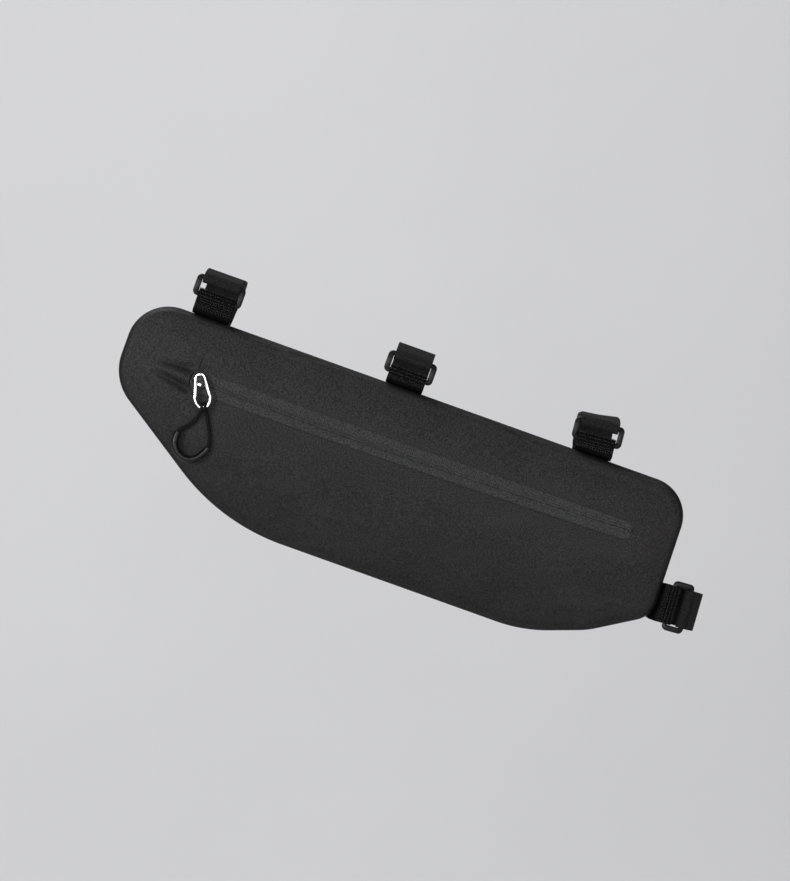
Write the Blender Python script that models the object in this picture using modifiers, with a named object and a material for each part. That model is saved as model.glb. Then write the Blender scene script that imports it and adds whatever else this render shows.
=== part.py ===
"""A waterproof bicycle frame bag: a hollow shell of coated fabric with a laminated zip, hung
under a sloping top tube by three hook-and-loop straps and held to the seat tube by a fourth.

Metres, +Z up. +X points to the rear of the bicycle, +Y away from the zip side. The origin is
the middle of the passage that the middle strap leaves for the top tube. The bag is modelled
level, as (along, across, up) from there, and an empty turns it to the slope of the tube.
"""

import math

import bmesh
import bpy
from mathutils import Matrix, Vector

# Driving sizes of the bag
TUBE_SLOPE = 19.7  # degrees that the top tube falls towards the rear
BAG_LENGTH = 0.380
BAG_HEIGHT = 0.122
BAG_DEPTH = 0.060
WALL = 0.002
RIM_RADIUS = 0.007  # the rounded welded edge between a side panel and the gusset
FRONT_CROWN = 0.003  # how far the zip side swells from its rim to the zip
BACK_CROWN = 0.002
SEAT_DENT = 0.004  # how far the seat tube presses into the rear gusset
GAP = 0.0003  # between pieces that touch

# Driving sizes of the straps and their rings
TOP_TUBE_WIDTH = 0.040
SEAT_TUBE_WIDTH = 0.030
SEAT_TUBE_LEAN = 3.5  # degrees between the seat tube and the bag's rear edge
STRAP_WIDTH = 0.025
STRAP_THICKNESS = 0.002
TOP_STRAP_SEWN = 0.014  # how far a strap's sewn end reaches under the tube
SEAT_STRAP_SEWN = 0.006
TOP_SHOULDER = 0.008  # rounding of the top tube's upper edges
ROOT_BEND = 0.003
WRAP_END = 0.011  # height above the bag at which the folded-back wrap ends
RING_BAR = 0.003
RING_WINDOW = 0.0036  # clear height left between the two straps in a ring
RING_SIDE_ROOM = 0.0004
RING_CORNER = 0.0032
RING_BOW = 0.0008  # how far a ring bows out between its bars

# Driving sizes of the zip and what hangs on it
SLOT_CLEARANCE = 0.0003
TAPE_THICKNESS = 0.0012
TAPE_LIP = 0.0005  # how far the lips stand proud of the tape along the slit
SLIT = 0.0003
SLIDER_LENGTH = 0.0105
SLIDER_WIDTH = 0.0090
SLIDER_HEIGHT = 0.0022
SLIDER_PLACE = 0.143  # the slider's middle, as a share of BAG_LENGTH
SLIDER_RISE = 0.0007  # how far the slider's middle lies above the slit
BAIL_WIRE = 0.0012
BAIL_RISE = 0.00214  # how far the bail stands above the slider's middle
PULLER_LENGTH = 0.0209
PULLER_WIDTH = 0.0120
PULLER_WIRE = 0.0016
PULLER_SWING = 6.6  # degrees that the puller hangs off the vertical, towards the rear
PULLER_RISE = 0.00443  # how far its upper bar lies above the slider's middle
PULLER_SHIFT = 0.0013  # and how far to the rear of it
END_STOP_LENGTH = 0.0014
END_STOP_WIDTH = 0.0024
END_STOP_HEIGHT = 0.0008
CORD_DIAMETER = 0.0024
SLEEVE_DIAMETER = 0.0042
SLEEVE_BORE_ROOM = 0.0003
HITCH_CORD = 0.0020  # the cord where it is pulled tight round the puller

# The outline's corners, clockwise from the top front, seen from the zip side. Along is a share
# of BAG_LENGTH from the front end, down and radius are shares of BAG_HEIGHT.
# (along, down, radius)
OUTLINE_CORNERS = (
    (0.0020, 0.000, 0.225),
    (0.9980, 0.000, 0.205),
    (1.0030, 0.697, 0.140),
    (0.9080, 0.880, 0.490),
    (0.8030, 1.000, 0.820),
    (0.2580, 1.000, 1.148),
    (0.0020, 0.473, 0.265),
)

# The zip's slot, from the slider to its rear end. Slit is how far below the slot's middle the
# lips meet, as a share of its half width. The other values are shares as above.
# (along, down, half_width, slit)
SLOT_STATIONS = (
    (0.1463, 0.335, 0.0590, 0.08),
    (0.5580, 0.330, 0.0560, 0.24),
    (0.9070, 0.314, 0.0490, -0.12),
)

# The plain back panel's flat middle
# (along, down, half_width)
BACK_STATIONS = (
    (0.1900, 0.420, 0.030),
    (0.5500, 0.480, 0.030),
    (0.8900, 0.480, 0.030),
)

# Ridges and hollows of the zip side, each along a line from one point to another. Along is a
# share of BAG_LENGTH, the rest of BAG_HEIGHT. A positive rise stands out of the panel.
# (name, from_along, from_down, to_along, to_down, from_half_width, to_half_width, from_rise, to_rise)
RELIEF = (
    ("zip garage", 0.068, 0.330, 0.126, 0.337, 0.034, 0.054, 0.006, 0.018),
    ("hollow above the garage", 0.072, 0.290, 0.120, 0.280, 0.028, 0.034, -0.002, -0.007),
    ("hollow below the garage", 0.072, 0.372, 0.122, 0.400, 0.030, 0.042, -0.003, -0.012),
    ("pucker over the slider", 0.142, 0.190, 0.146, 0.262, 0.024, 0.030, -0.001, -0.006),
    ("fold behind the front strap", 0.270, 0.040, 0.340, 0.024, 0.028, 0.020, -0.008, -0.003),
    ("fold before the rear strap", 0.628, 0.020, 0.700, 0.040, 0.022, 0.030, -0.003, -0.008),
    ("sag of the lower front", 0.180, 0.640, 0.300, 0.860, 0.200, 0.240, 0.006, 0.010),
    ("sag of the middle", 0.450, 0.800, 0.700, 0.800, 0.240, 0.240, 0.010, 0.010),
)

# The three straps round the top tube. Along is a share of BAG_LENGTH. Passage is the height
# left for the tube and ring the height of the ring's middle, both above the bag. Turn is how
# far the strap leans forward, in degrees. Flare is how much higher the passage is at the
# strap's rear edge than at its front edge, and skew how far its top lies to the rear.
# (name, along, passage, ring, turn, flare, skew)
TOP_STRAPS = (
    ("front", 0.1237, 0.0265, 0.0187, 0.0, 0.0000, 0.0015),
    ("middle", 0.4737, 0.0230, 0.0138, 0.0, 0.0000, 0.0000),
    ("rear", 0.8150, 0.0225, 0.0152, 5.0, 0.0032, -0.0020),
)
MIDDLE_STRAP = 1  # the row whose passage holds the origin

# The seat strap, on the rear gusset. Down is a share of BAG_HEIGHT. Passage and ring are as
# above, outwards from the gusset. Tip is how far the ring leans towards the tube, in degrees.
SEAT_STRAP_DOWN = 0.612
SEAT_PASSAGE = 0.0244
SEAT_RING = 0.0144
SEAT_RING_TIP = 12.0

# The puller's outline down its length. Drop is a share of PULLER_LENGTH, half_width and corner
# are shares of PULLER_WIDTH.
# (drop, half_width, corner)
PULLER_SHAPE = (
    (0.00, 0.17, 0.12),
    (0.10, 0.24, 0.30),
    (0.45, 0.35, 0.80),
    (0.72, 0.43, 0.30),
    (0.87, 0.37, 0.25),
    (1.00, 0.22, 0.10),
)

# The hitch by which the cord grips the puller's lowest bar, from its rear foot over the bar,
# across in front and back. In shares of the distance from the bar's middle to the cord's.
# (right, up, out)
HITCH_ROUTE = (
    (0.62, -1.70, -1.00),
    (0.56, -0.80, -1.02),
    (0.54, 0.00, -1.00),
    (0.54, 0.74, -0.70),
    (0.54, 1.00, 0.00),
    (0.54, 0.72, 0.70),
    (0.54, 0.00, 1.00),
    (0.44, -0.62, 1.00),
    (0.00, -0.96, 0.98),
    (-0.44, -0.62, 1.00),
    (-0.54, 0.00, 1.00),
    (-0.54, 0.72, 0.70),
    (-0.54, 1.00, 0.00),
    (-0.54, 0.74, -0.70),
    (-0.54, 0.00, -1.00),
    (-0.68, -0.76, -1.02),
    (-1.16, -1.50, -1.00),
)

# The cord's route from the hitch down one strand, through the sleeve and up the other, as read
# off its hang. Right and up are from the middle of the puller's lowest bar, in the puller's
# frame and as shares of PULLER_LENGTH, and out is from the zip side's face, in metres.
# (right, up, out)
CORD_ROUTE = (
    (0.063, -0.188, 0.0020),
    (0.072, -0.426, 0.0017),
    (0.085, -0.788, 0.0017),
    (0.066, -1.022, 0.0020),
    (-0.014, -1.270, 0.0024),
    (-0.157, -1.405, 0.0024),
    (-0.363, -1.521, 0.0024),
    (-0.579, -1.559, 0.0024),
    (-0.789, -1.496, 0.0024),
    (-0.956, -1.313, 0.0024),
    (-1.026, -1.089, 0.0024),
    (-0.995, -0.900, 0.0024),
    (-0.868, -0.676, 0.0022),
    (-0.700, -0.588, 0.0018),
    (-0.455, -0.478, 0.0017),
    (-0.240, -0.305, 0.0018),
    (-0.122, -0.163, 0.0020),
)
SLEEVE_FROM = 4  # the route's rows between which the sleeve lies
SLEEVE_TO = 12

# Fineness of the meshes
OUTLINE_STEP = 0.0135
OUTLINE_TURN = 15.0
SLOT_STEPS = 26
RIM_STEPS = 3
GUSSET_STEPS = 6
PANEL_SHARES = (0.20, 0.42, 0.62, 0.79, 0.91, 1.0)
BACK_SHARES = (0.35, 0.72, 1.0)
BEND_TURN = 30.0
SHOULDER_TURN = 15


def clear_scene():
    for found in list(bpy.data.objects):
        bpy.data.objects.remove(found, do_unlink=True)


def material(name, color, roughness, metallic=0.0):
    made = bpy.data.materials.new(name)
    made.use_nodes = True
    shader = made.node_tree.nodes["Principled BSDF"]
    shader.inputs["Base Color"].default_value = (*color, 1.0)
    shader.inputs["Roughness"].default_value = roughness
    shader.inputs["Metallic"].default_value = metallic
    made.diffuse_color = (*color, 1.0)
    return made


# The bag's own frame: the middle strap's passage is centred on the origin
BAG_TOP = -TOP_STRAPS[MIDDLE_STRAP][2] / 2
BAG_FRONT = -TOP_STRAPS[MIDDLE_STRAP][1] * BAG_LENGTH
HALF_DEPTH = BAG_DEPTH / 2
FRONT_EDGE = HALF_DEPTH - FRONT_CROWN
BACK_EDGE = HALF_DEPTH - BACK_CROWN


def at(along, down):
    """A place on the bag's side, from shares of its length and height."""
    return Vector((BAG_FRONT + along * BAG_LENGTH, BAG_TOP - down * BAG_HEIGHT))


def blend(low, high, share):
    return low + (high - low) * share


def smooth(value):
    value = min(max(value, 0.0), 1.0)
    return value * value * (3 - 2 * value)


def rounded(points, radii, turn, step=None, cyclic=False):
    """A polyline with its corners rounded, each to its radius or to what its sides leave."""
    count = len(points)
    corners = []
    for i, point in enumerate(points):
        if not cyclic and i in (0, count - 1):
            corners.append([point])
            continue
        before = points[i - 1] - point
        after = points[(i + 1) % count] - point
        half = before.angle(after) / 2
        room = 0.49 * min(before.length, after.length)
        reach = min(radii[i] / math.tan(half), room)
        radius = reach * math.tan(half)
        if radius < 1e-5:
            corners.append([point])
            continue
        inward = (before.normalized() + after.normalized()).normalized()
        centre = point + inward * (radius / math.sin(half))
        start = point + before.normalized() * reach - centre
        sweep = math.pi - 2 * half
        pieces = max(1, math.ceil(math.degrees(sweep) / turn))
        if step:
            pieces = max(pieces, math.ceil(sweep * radius / step))
        sign = 1 if before.x * after.y - before.y * after.x < 0 else -1
        corners.append([centre + turned(start, sign * sweep * k / pieces) for k in range(pieces + 1)])
    line = []
    for i, corner in enumerate(corners):
        line.extend(corner)
        last = i == count - 1
        if step and (cyclic or not last):
            ahead = corners[(i + 1) % count][0]
            pieces = math.ceil((ahead - corner[-1]).length / step)
            line.extend(corner[-1].lerp(ahead, k / pieces) for k in range(1, pieces))
    return line


def turned(vector, angle):
    cosine, sine = math.cos(angle), math.sin(angle)
    return Vector((vector.x * cosine - vector.y * sine, vector.x * sine + vector.y * cosine))


def station(rows, share):
    """The values of three rows of a table, joined by a smooth curve."""
    middle = (rows[1][0] - rows[0][0]) / (rows[2][0] - rows[0][0])
    first = (share - middle) * (share - 1) / middle
    second = share * (share - 1) / (middle * (middle - 1))
    third = share * (share - middle) / (1 - middle)
    return [first * a + second * b + third * c for a, b, c in zip(*rows)]


def spine_edge(rows, point):
    """The point of the rounded band round a spine that lies nearest to a point outside it."""
    first, last = at(rows[0][0], rows[0][1]), at(rows[2][0], rows[2][1])
    share = min(max((point.x - first.x) / (last.x - first.x), 0.0), 1.0)
    along, down, half_width = station([row[:3] for row in rows], share)
    centre = at(along, down)
    if 0.0 < share < 1.0:
        direction = Vector((0, 1 if point.y > centre.y else -1))
    else:
        direction = (point - centre).normalized()
    return centre + direction * half_width * BAG_HEIGHT


def relief(point):
    """How far the zip side stands out at a point, for its ridges and hollows."""
    rise = 0.0
    for _, along_a, down_a, along_b, down_b, width_a, width_b, rise_a, rise_b in RELIEF:
        start, end = at(along_a, down_a), at(along_b, down_b)
        run = end - start
        share = (point - start).dot(run) / run.length_squared
        share = min(max(share, 0.0), 1.0)
        width = blend(width_a, width_b, share) * BAG_HEIGHT
        away = (point - start - run * share).length / width
        if away < 1:
            rise += blend(rise_a, rise_b, share) * BAG_HEIGHT * math.cos(away * math.pi / 2) ** 2
    return rise


def bag_outline():
    points = [at(along, down) for along, down, _ in OUTLINE_CORNERS]
    radii = [radius * BAG_HEIGHT for _, _, radius in OUTLINE_CORNERS]
    return rounded(points, radii, OUTLINE_TURN, OUTLINE_STEP, cyclic=True)


def inward_normals(outline):
    """Unit normals of the outline, which runs clockwise."""
    normals = []
    for i, _ in enumerate(outline):
        run = (outline[(i + 1) % len(outline)] - outline[i - 1]).normalized()
        normals.append(Vector((run.y, -run.x)))
    return normals


def gusset_rows():
    """The rows of the gusset between its rims, across the bag."""
    near, far = RIM_RADIUS - FRONT_EDGE, BACK_EDGE - RIM_RADIUS
    return [blend(near, far, k / GUSSET_STEPS) for k in range(GUSSET_STEPS + 1)]


def gusset_dip(row):
    """How deep the seat tube presses into a row of the rear gusset."""
    if row in (0, GUSSET_STEPS):
        return 0.0
    across = gusset_rows()[row]
    return SEAT_DENT * math.cos(min(abs(across) / HALF_DEPTH * 1.3, 1.0) * math.pi / 2) ** 2


def dented(across):
    """The height of the rear gusset across the bag, which is straight from row to row."""
    rows = gusset_rows()
    for k in range(GUSSET_STEPS):
        if rows[k] <= across <= rows[k + 1]:
            share = (across - rows[k]) / (rows[k + 1] - rows[k])
            return -blend(gusset_dip(k), gusset_dip(k + 1), share)
    return 0.0


def rear_share(point):
    """1 along the straight of the rear edge, fading out at its corners."""
    edge = at(1.0, 0.0).x
    corner = OUTLINE_CORNERS[1][2] * BAG_HEIGHT
    return smooth(1 - (edge - point.x) / (0.35 * corner))


def shell_rows():
    """Rings of the shell from the zip's slot, over the rim and gusset, to the middle of the back."""
    outline = bag_outline()
    normals = inward_normals(outline)
    feet = [point + normal * RIM_RADIUS for point, normal in zip(outline, normals)]
    rows = []
    for share in reversed(PANEL_SHARES):
        row = []
        for foot in feet:
            edge = spine_edge(SLOT_STATIONS, foot)
            place = foot.lerp(edge, share)
            rise = relief(edge if share >= PANEL_SHARES[-2] else place)
            out = FRONT_EDGE + FRONT_CROWN * (1 - (1 - share) ** 2) + rise
            row.append((place.x, -out, place.y))
        rows.append(row)
    for k in reversed(range(RIM_STEPS + 1)):
        angle = math.pi / 2 * k / RIM_STEPS
        inset = RIM_RADIUS * (1 - math.cos(angle))
        across = -(FRONT_EDGE - RIM_RADIUS * (1 - math.sin(angle)))
        rows.append([(p.x + n.x * inset, across, p.y + n.y * inset) for p, n in zip(outline, normals)])
    for k in range(1, GUSSET_STEPS):
        across, dip = gusset_rows()[k], gusset_dip(k)
        rows.append([(p.x - dip * rear_share(p), across, p.y) for p in outline])
    for k in range(RIM_STEPS + 1):
        angle = math.pi / 2 * k / RIM_STEPS
        inset = RIM_RADIUS * (1 - math.cos(angle))
        across = BACK_EDGE - RIM_RADIUS * (1 - math.sin(angle))
        rows.append([(p.x + n.x * inset, across, p.y + n.y * inset) for p, n in zip(outline, normals)])
    for share in BACK_SHARES:
        row = []
        for foot in feet:
            place = foot.lerp(spine_edge(BACK_STATIONS, foot), share)
            row.append((place.x, BACK_EDGE + BACK_CROWN * (1 - (1 - share) ** 2), place.y))
        rows.append(row)
    return rows


def mesh_object(name, points, faces, look, parent, smooth_angle=35.0):
    mesh = bpy.data.meshes.new(name)
    mesh.from_pydata([tuple(point) for point in points], [], faces)
    tidy = bmesh.new()
    tidy.from_mesh(mesh)
    bmesh.ops.recalc_face_normals(tidy, faces=tidy.faces)
    tidy.to_mesh(mesh)
    tidy.free()
    mesh.materials.append(look)
    mesh.shade_smooth()
    mesh.set_sharp_from_angle(angle=math.radians(smooth_angle))
    made = bpy.data.objects.new(name, mesh)
    made.parent = parent
    PARTS.objects.link(made)
    return made


def loft(rows, close_rows, cap_ends):
    """Points and quads of a loft through rows of equal length, with its ends capped or left open."""
    count = len(rows[0])
    points = [point for row in rows for point in row]
    faces = []
    for r in range(len(rows) - 1):
        for c in range(count if close_rows else count - 1):
            d = (c + 1) % count
            faces.append((r * count + c, r * count + d, (r + 1) * count + d, (r + 1) * count + c))
    if cap_ends:
        faces.append(tuple(reversed(range(count))))
        faces.append(tuple((len(rows) - 1) * count + c for c in range(count)))
    return points, faces


def block_mesh(name, size, look):
    block = bmesh.new()
    bmesh.ops.create_cube(block, size=1.0)
    for corner in block.verts:
        corner.co = Vector(a * b for a, b in zip(corner.co, size))
    mesh = bpy.data.meshes.new(name)
    block.to_mesh(mesh)
    block.free()
    mesh.materials.append(look)
    return mesh


def build_shell(hanger, look):
    rows = shell_rows()
    points, faces = loft(rows, True, False)
    count = len(rows[0])
    faces.append(tuple((len(rows) - 1) * count + c for c in range(count)))
    shell = mesh_object("bag_shell", points, faces, look, hanger)
    # The sheet is open at the slot, so the side that its faces call outer is set here
    sheet = shell.data
    if sum(face.normal.y for face in sheet.polygons if face.center.y < -FRONT_EDGE) > 0:
        sheet.flip_normals()
    wall = shell.modifiers.new("wall", "SOLIDIFY")
    wall.thickness = WALL
    wall.offset = -1
    wall.use_even_offset = True
    return shell


def inset_slot():
    """The slot's edge, drawn in by the clearance that the tapes leave."""
    outline = bag_outline()
    feet = [point + normal * RIM_RADIUS for point, normal in zip(outline, inward_normals(outline))]
    edge = merged([spine_edge(SLOT_STATIONS, foot) for foot in feet])
    inset = []
    for i, point in enumerate(edge):
        into = (point - edge[i - 1]).normalized()
        onward = (edge[(i + 1) % len(edge)] - point).normalized()
        run = (into + onward).normalized()
        inward = Vector((run.y, -run.x))
        inset.append(point + inward * SLOT_CLEARANCE / max(math.cos(into.angle(onward) / 2), 0.5))
    return inset


def crossings(loop, x):
    """The heights at which a closed line passes over a place."""
    heights = []
    for i, point in enumerate(loop):
        other = loop[i - 1]
        if min(point.x, other.x) <= x <= max(point.x, other.x) and abs(point.x - other.x) > 1e-9:
            heights.append(blend(point.y, other.y, (x - point.x) / (other.x - point.x)))
    return min(heights), max(heights)


def build_tapes(hanger, look):
    """The two tapes in the slot, each a loft of its cross-section along the zip."""
    slot = inset_slot()
    low, high = min(point.x for point in slot), max(point.x for point in slot)
    first, last = at(*SLOT_STATIONS[0][:2]), at(*SLOT_STATIONS[2][:2])
    face = -HALF_DEPTH + GAP
    sections = {"zip_tape_upper": [], "zip_tape_lower": []}
    for k in range(SLOT_STEPS + 1):
        x = blend(low, high, 0.5 - 0.5 * math.cos(math.pi * blend(0.05, 0.95, k / SLOT_STEPS)))
        share = min(max((x - first.x) / (last.x - first.x), 0.0), 1.0)
        slit = station(SLOT_STATIONS, share)[3]
        bottom, top = crossings(slot, x)
        meet = (bottom + top) / 2 - slit * (top - bottom) / 2
        for name, edge, side in (("zip_tape_upper", top, 1), ("zip_tape_lower", bottom, -1)):
            lip = meet + side * SLIT / 2
            rise = TAPE_LIP * min(1.0, abs(edge - lip) / (3 * TAPE_THICKNESS))
            sections[name].append([
                (x, face, edge),
                (x, face, blend(lip, edge, 0.34)),
                (x, face - rise, blend(lip, edge, 0.12)),
                (x, face, lip),
                (x, face + TAPE_THICKNESS, lip),
                (x, face + TAPE_THICKNESS, edge),
            ])
    for name, rows in sections.items():
        points, faces = loft(rows, True, True)
        mesh_object(name, points, faces, look, hanger)


def build_slider(seat, look):
    """The slider's body and the wire bail that stands along it, as one piece."""
    mesh = block_mesh("slider_body", (SLIDER_LENGTH, SLIDER_HEIGHT, SLIDER_WIDTH), look)
    for corner in mesh.vertices:
        if corner.co.x > 0:
            corner.co.z *= 0.76
        corner.co.y -= SLIDER_HEIGHT / 2 + TAPE_LIP + GAP
    slider = bpy.data.objects.new("zip_slider", mesh)
    slider.parent = seat
    PARTS.objects.link(slider)
    edge = slider.modifiers.new("edge", "BEVEL")
    edge.width = 0.0007
    edge.segments = 2
    body_top = SLIDER_HEIGHT + TAPE_LIP + GAP
    foot = -(body_top - SLIDER_HEIGHT * 0.4)
    top = -(body_top + PULLER_WIRE + BAIL_WIRE / 2 + 2 * GAP)
    front, rear = -SLIDER_LENGTH * 0.42, SLIDER_LENGTH * 0.18
    legs = [Vector((front, foot)), Vector((front, top)), Vector((rear, top)), Vector((rear, foot))]
    line = rounded(legs, [0.0013] * 4, BEND_TURN)
    bail = tube_curve("slider_bail", [(p.x, p.y, BAIL_RISE) for p in line], BAIL_WIRE / 2, look, seat)
    bail = curve_to_mesh(bail)
    CUTTERS.objects.link(bail)
    PARTS.objects.unlink(bail)
    bail.hide_render = True
    bail.display_type = "WIRE"
    join = slider.modifiers.new("bail", "BOOLEAN")
    join.operation = "UNION"
    join.object = bail
    return slider


def tube_curve(name, points, radius, look, parent, cyclic=False, resolution=2, caps=True):
    curve = bpy.data.curves.new(name, "CURVE")
    curve.dimensions = "3D"
    curve.bevel_depth = radius
    curve.bevel_resolution = resolution
    curve.use_fill_caps = caps
    spline = curve.splines.new("POLY")
    spline.points.add(len(points) - 1)
    for knot, point in zip(spline.points, points):
        knot.co = (*point, 1.0)
    spline.use_cyclic_u = cyclic
    curve.materials.append(look)
    made = bpy.data.objects.new(name, curve)
    made.parent = parent
    PARTS.objects.link(made)
    return made


def curve_to_mesh(source):
    """A mesh object in a curve object's place, with the curve's loose caps welded."""
    bpy.context.view_layer.update()
    graph = bpy.context.evaluated_depsgraph_get()
    mesh = bpy.data.meshes.new_from_object(source.evaluated_get(graph))
    welded = bmesh.new()
    welded.from_mesh(mesh)
    bmesh.ops.remove_doubles(welded, verts=welded.verts, dist=1e-6)
    bmesh.ops.recalc_face_normals(welded, faces=welded.faces)
    welded.to_mesh(mesh)
    welded.free()
    name, parent = source.name, source.parent
    bpy.data.objects.remove(source, do_unlink=True)
    made = bpy.data.objects.new(name, mesh)
    made.parent = parent
    PARTS.objects.link(made)
    return made


def puller_out():
    """How far the puller's wire lies out from the zip side's face."""
    return SLIDER_HEIGHT + TAPE_LIP + 2 * GAP + PULLER_WIRE / 2


def build_puller(hook, look):
    """The closed metal loop, threaded under the bail."""
    left = [Vector((-half * PULLER_WIDTH, -drop * PULLER_LENGTH)) for drop, half, _ in PULLER_SHAPE]
    right = [Vector((-point.x, point.y)) for point in reversed(left)]
    radii = [corner * PULLER_WIDTH for _, _, corner in PULLER_SHAPE]
    line = rounded(left + right, radii + radii[::-1], 20.0, cyclic=True)
    points = [(p.x + PULLER_SHIFT, -puller_out(), p.y + PULLER_RISE) for p in line]
    return tube_curve("zip_puller", points, PULLER_WIRE / 2, look, hook, cyclic=True)


def smooth_route(route, pieces):
    """Points of a smooth curve through a route, evenly shared between its rows."""
    points = []
    for i in range(len(route) - 1):
        before = route[max(i - 1, 0)]
        here, there = route[i], route[i + 1]
        after = route[min(i + 2, len(route) - 1)]
        for k in range(pieces):
            t = k / pieces
            points.append(
                0.5 * (2 * here + (there - before) * t
                       + (2 * before - 5 * here + 4 * there - after) * t * t
                       + (3 * here - before - 3 * there + after) * t ** 3)
            )
    points.append(route[-1])
    return points


def cord_points(first, last, pieces):
    """The cord's line between two rows of its route, from the middle of the puller's lowest bar."""
    route = [Vector((right * PULLER_LENGTH, -out, up * PULLER_LENGTH)) for right, up, out in CORD_ROUTE]
    return smooth_route(route, pieces)[first * pieces : last * pieces + 1]


def build_cord(bar, cord_look, sleeve_look):
    line = cord_points(0, len(CORD_ROUTE) - 1, 2)
    tube_curve("puller_cord", line, CORD_DIAMETER / 2, cord_look, bar)
    line = cord_points(SLEEVE_FROM, SLEEVE_TO, 3)
    sleeve = tube_curve("cord_sleeve", line, SLEEVE_DIAMETER / 2, sleeve_look, bar, caps=False)
    wall = sleeve.modifiers.new("wall", "SOLIDIFY")
    wall.thickness = (SLEEVE_DIAMETER - CORD_DIAMETER) / 2 - SLEEVE_BORE_ROOM
    wall.offset = -1
    return sleeve


def build_hitch(bar, look):
    """Two turns round the puller's lowest bar, joined in front of it."""
    reach = PULLER_WIRE / 2 + GAP + HITCH_CORD / 2
    route = [
        Vector((right * reach, -puller_out() - out * reach, up * reach)) for right, up, out in HITCH_ROUTE
    ]
    return tube_curve("cord_hitch", smooth_route(route, 2), HITCH_CORD / 2, look, bar)


def build_end_stop(hanger, look):
    along, down, half_width, slit = SLOT_STATIONS[2]
    place = at(along, down + slit * half_width)
    place.x += half_width * BAG_HEIGHT - END_STOP_LENGTH
    mesh = block_mesh("zip_end_stop", (END_STOP_LENGTH, END_STOP_HEIGHT, END_STOP_WIDTH), look)
    made = bpy.data.objects.new("zip_end_stop", mesh)
    made.parent = hanger
    made.location = (place.x, -(HALF_DEPTH + TAPE_LIP + END_STOP_HEIGHT / 2), place.y)
    PARTS.objects.link(made)
    edge = made.modifiers.new("edge", "BEVEL")
    edge.width = END_STOP_HEIGHT / 4
    edge.segments = 2


# Straps. Each is drawn across and outwards from the gusset that it is sewn to, then given its
# width. Across is negative on the zip side.
LOOP_RADIUS = RING_BAR / 2 + GAP + STRAP_THICKNESS / 2
BAR_REACH = RING_BAR / 2 + GAP + STRAP_THICKNESS + RING_WINDOW / 2
LAYER = STRAP_THICKNESS + GAP


def heading(vector):
    return math.degrees(math.atan2(vector.y, vector.x))


def bar_turn(bar, start, end):
    """The turn that a strap makes round a bar, between two angles."""
    steps = max(2, math.ceil(abs(end - start) / BEND_TURN))
    angles = [math.radians(blend(start, end, k / steps)) for k in range(steps + 1)]
    return [bar + turned(Vector((LOOP_RADIUS, 0)), angle) for angle in angles]


def from_point(point, bar, side):
    """The angle at which a straight run from a point meets the turn round a bar, on one side."""
    away = point - bar
    return heading(away) + side * math.degrees(math.acos(min(LOOP_RADIUS / away.length, 1.0)))


def root(side, wall, sewn, surface):
    """A strap's sewn end on the gusset, from its tip to the foot of the strap's wall."""
    seat = GAP + STRAP_THICKNESS / 2
    places = [wall - sewn, wall]
    if surface(side * wall) or surface(side * (wall - sewn)):
        places += [abs(row) for row in gusset_rows() if wall - sewn < row * side < wall]
    return [Vector((side * place, surface(side * place) + seat)) for place in sorted(places)]


def shoulder_arc(centre, radius, start, end):
    """Points on a shoulder from one angle down to another, at the whole steps between them."""
    steps = [a for a in range(0, 181, SHOULDER_TURN) if end + 2 < a < start - 2]
    angles = [start] + sorted(steps, reverse=True) + [end]
    return [centre + turned(Vector((radius, 0)), math.radians(a)) for a in angles]


def from_shoulder(shoulder, radius, bar, reach):
    """The angle at which a straight run leaves a shoulder for the turn round a bar."""
    away = shoulder - bar
    share = (reach - radius) / away.length
    return heading(away) + math.degrees(math.acos(max(min(share, 1.0), -1.0)))


def strap_lines(size, sewn, tip, shoulder, surface):
    """The base's line and the wrap's line, as (across, out) points, with the ring's middle and up."""
    half_tube, passage, ring = size
    seat = GAP + STRAP_THICKNESS / 2
    wall = half_tube + seat
    up = turned(Vector((0, 1)), -math.radians(tip))
    centre = Vector((-wall - LOOP_RADIUS, ring))
    lower, upper = centre - up * BAR_REACH, centre + up * BAR_REACH

    near_root = root(-1, wall, sewn, surface)
    foot = [0.0] * (len(near_root) - 1) + [ROOT_BEND, 0.0]
    tail = -wall - LAYER - GAP
    end = Vector((tail, surface(-wall) + seat + STRAP_THICKNESS * 0.4))
    knee = Vector((tail, blend(end.y, lower.y, 0.35)))
    turn = bar_turn(lower, from_point(near_root[-1], lower, 1), from_point(knee, lower, -1) + 360)
    base = rounded(near_root + [turn[0]], foot, BEND_TURN)[:-1] + turn
    base += rounded([turn[-1], knee, end], [0, 0.004, 0], BEND_TURN)[1:]

    near = Vector((shoulder - half_tube, passage - shoulder))
    far = Vector((half_tube - shoulder, passage - shoulder))
    inner, outer = shoulder + seat, shoulder + seat + LAYER
    wrap = rounded(root(1, wall, sewn, surface) + [Vector((wall, far.y))], foot, BEND_TURN)[:-1]
    wrap += shoulder_arc(far, inner, 90, 0)[::-1]
    arrive = from_shoulder(near, inner, upper, -LOOP_RADIUS)
    leave = from_shoulder(near, outer, upper, LOOP_RADIUS)
    wrap += shoulder_arc(near, inner, arrive, 90)[::-1]
    wrap += bar_turn(upper, arrive + 180, leave)
    wrap += shoulder_arc(near, outer, leave, 90)
    wrap += shoulder_arc(far, outer, 90, 0)
    wrap.append(Vector((wall + LAYER, WRAP_END)))
    return base, merged(wrap), centre, up


def merged(line):
    """A line without points that repeat the one before."""
    kept = [line[0]]
    for point in line[1:]:
        if (point - kept[-1]).length > 1e-5:
            kept.append(point)
    return kept


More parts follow.
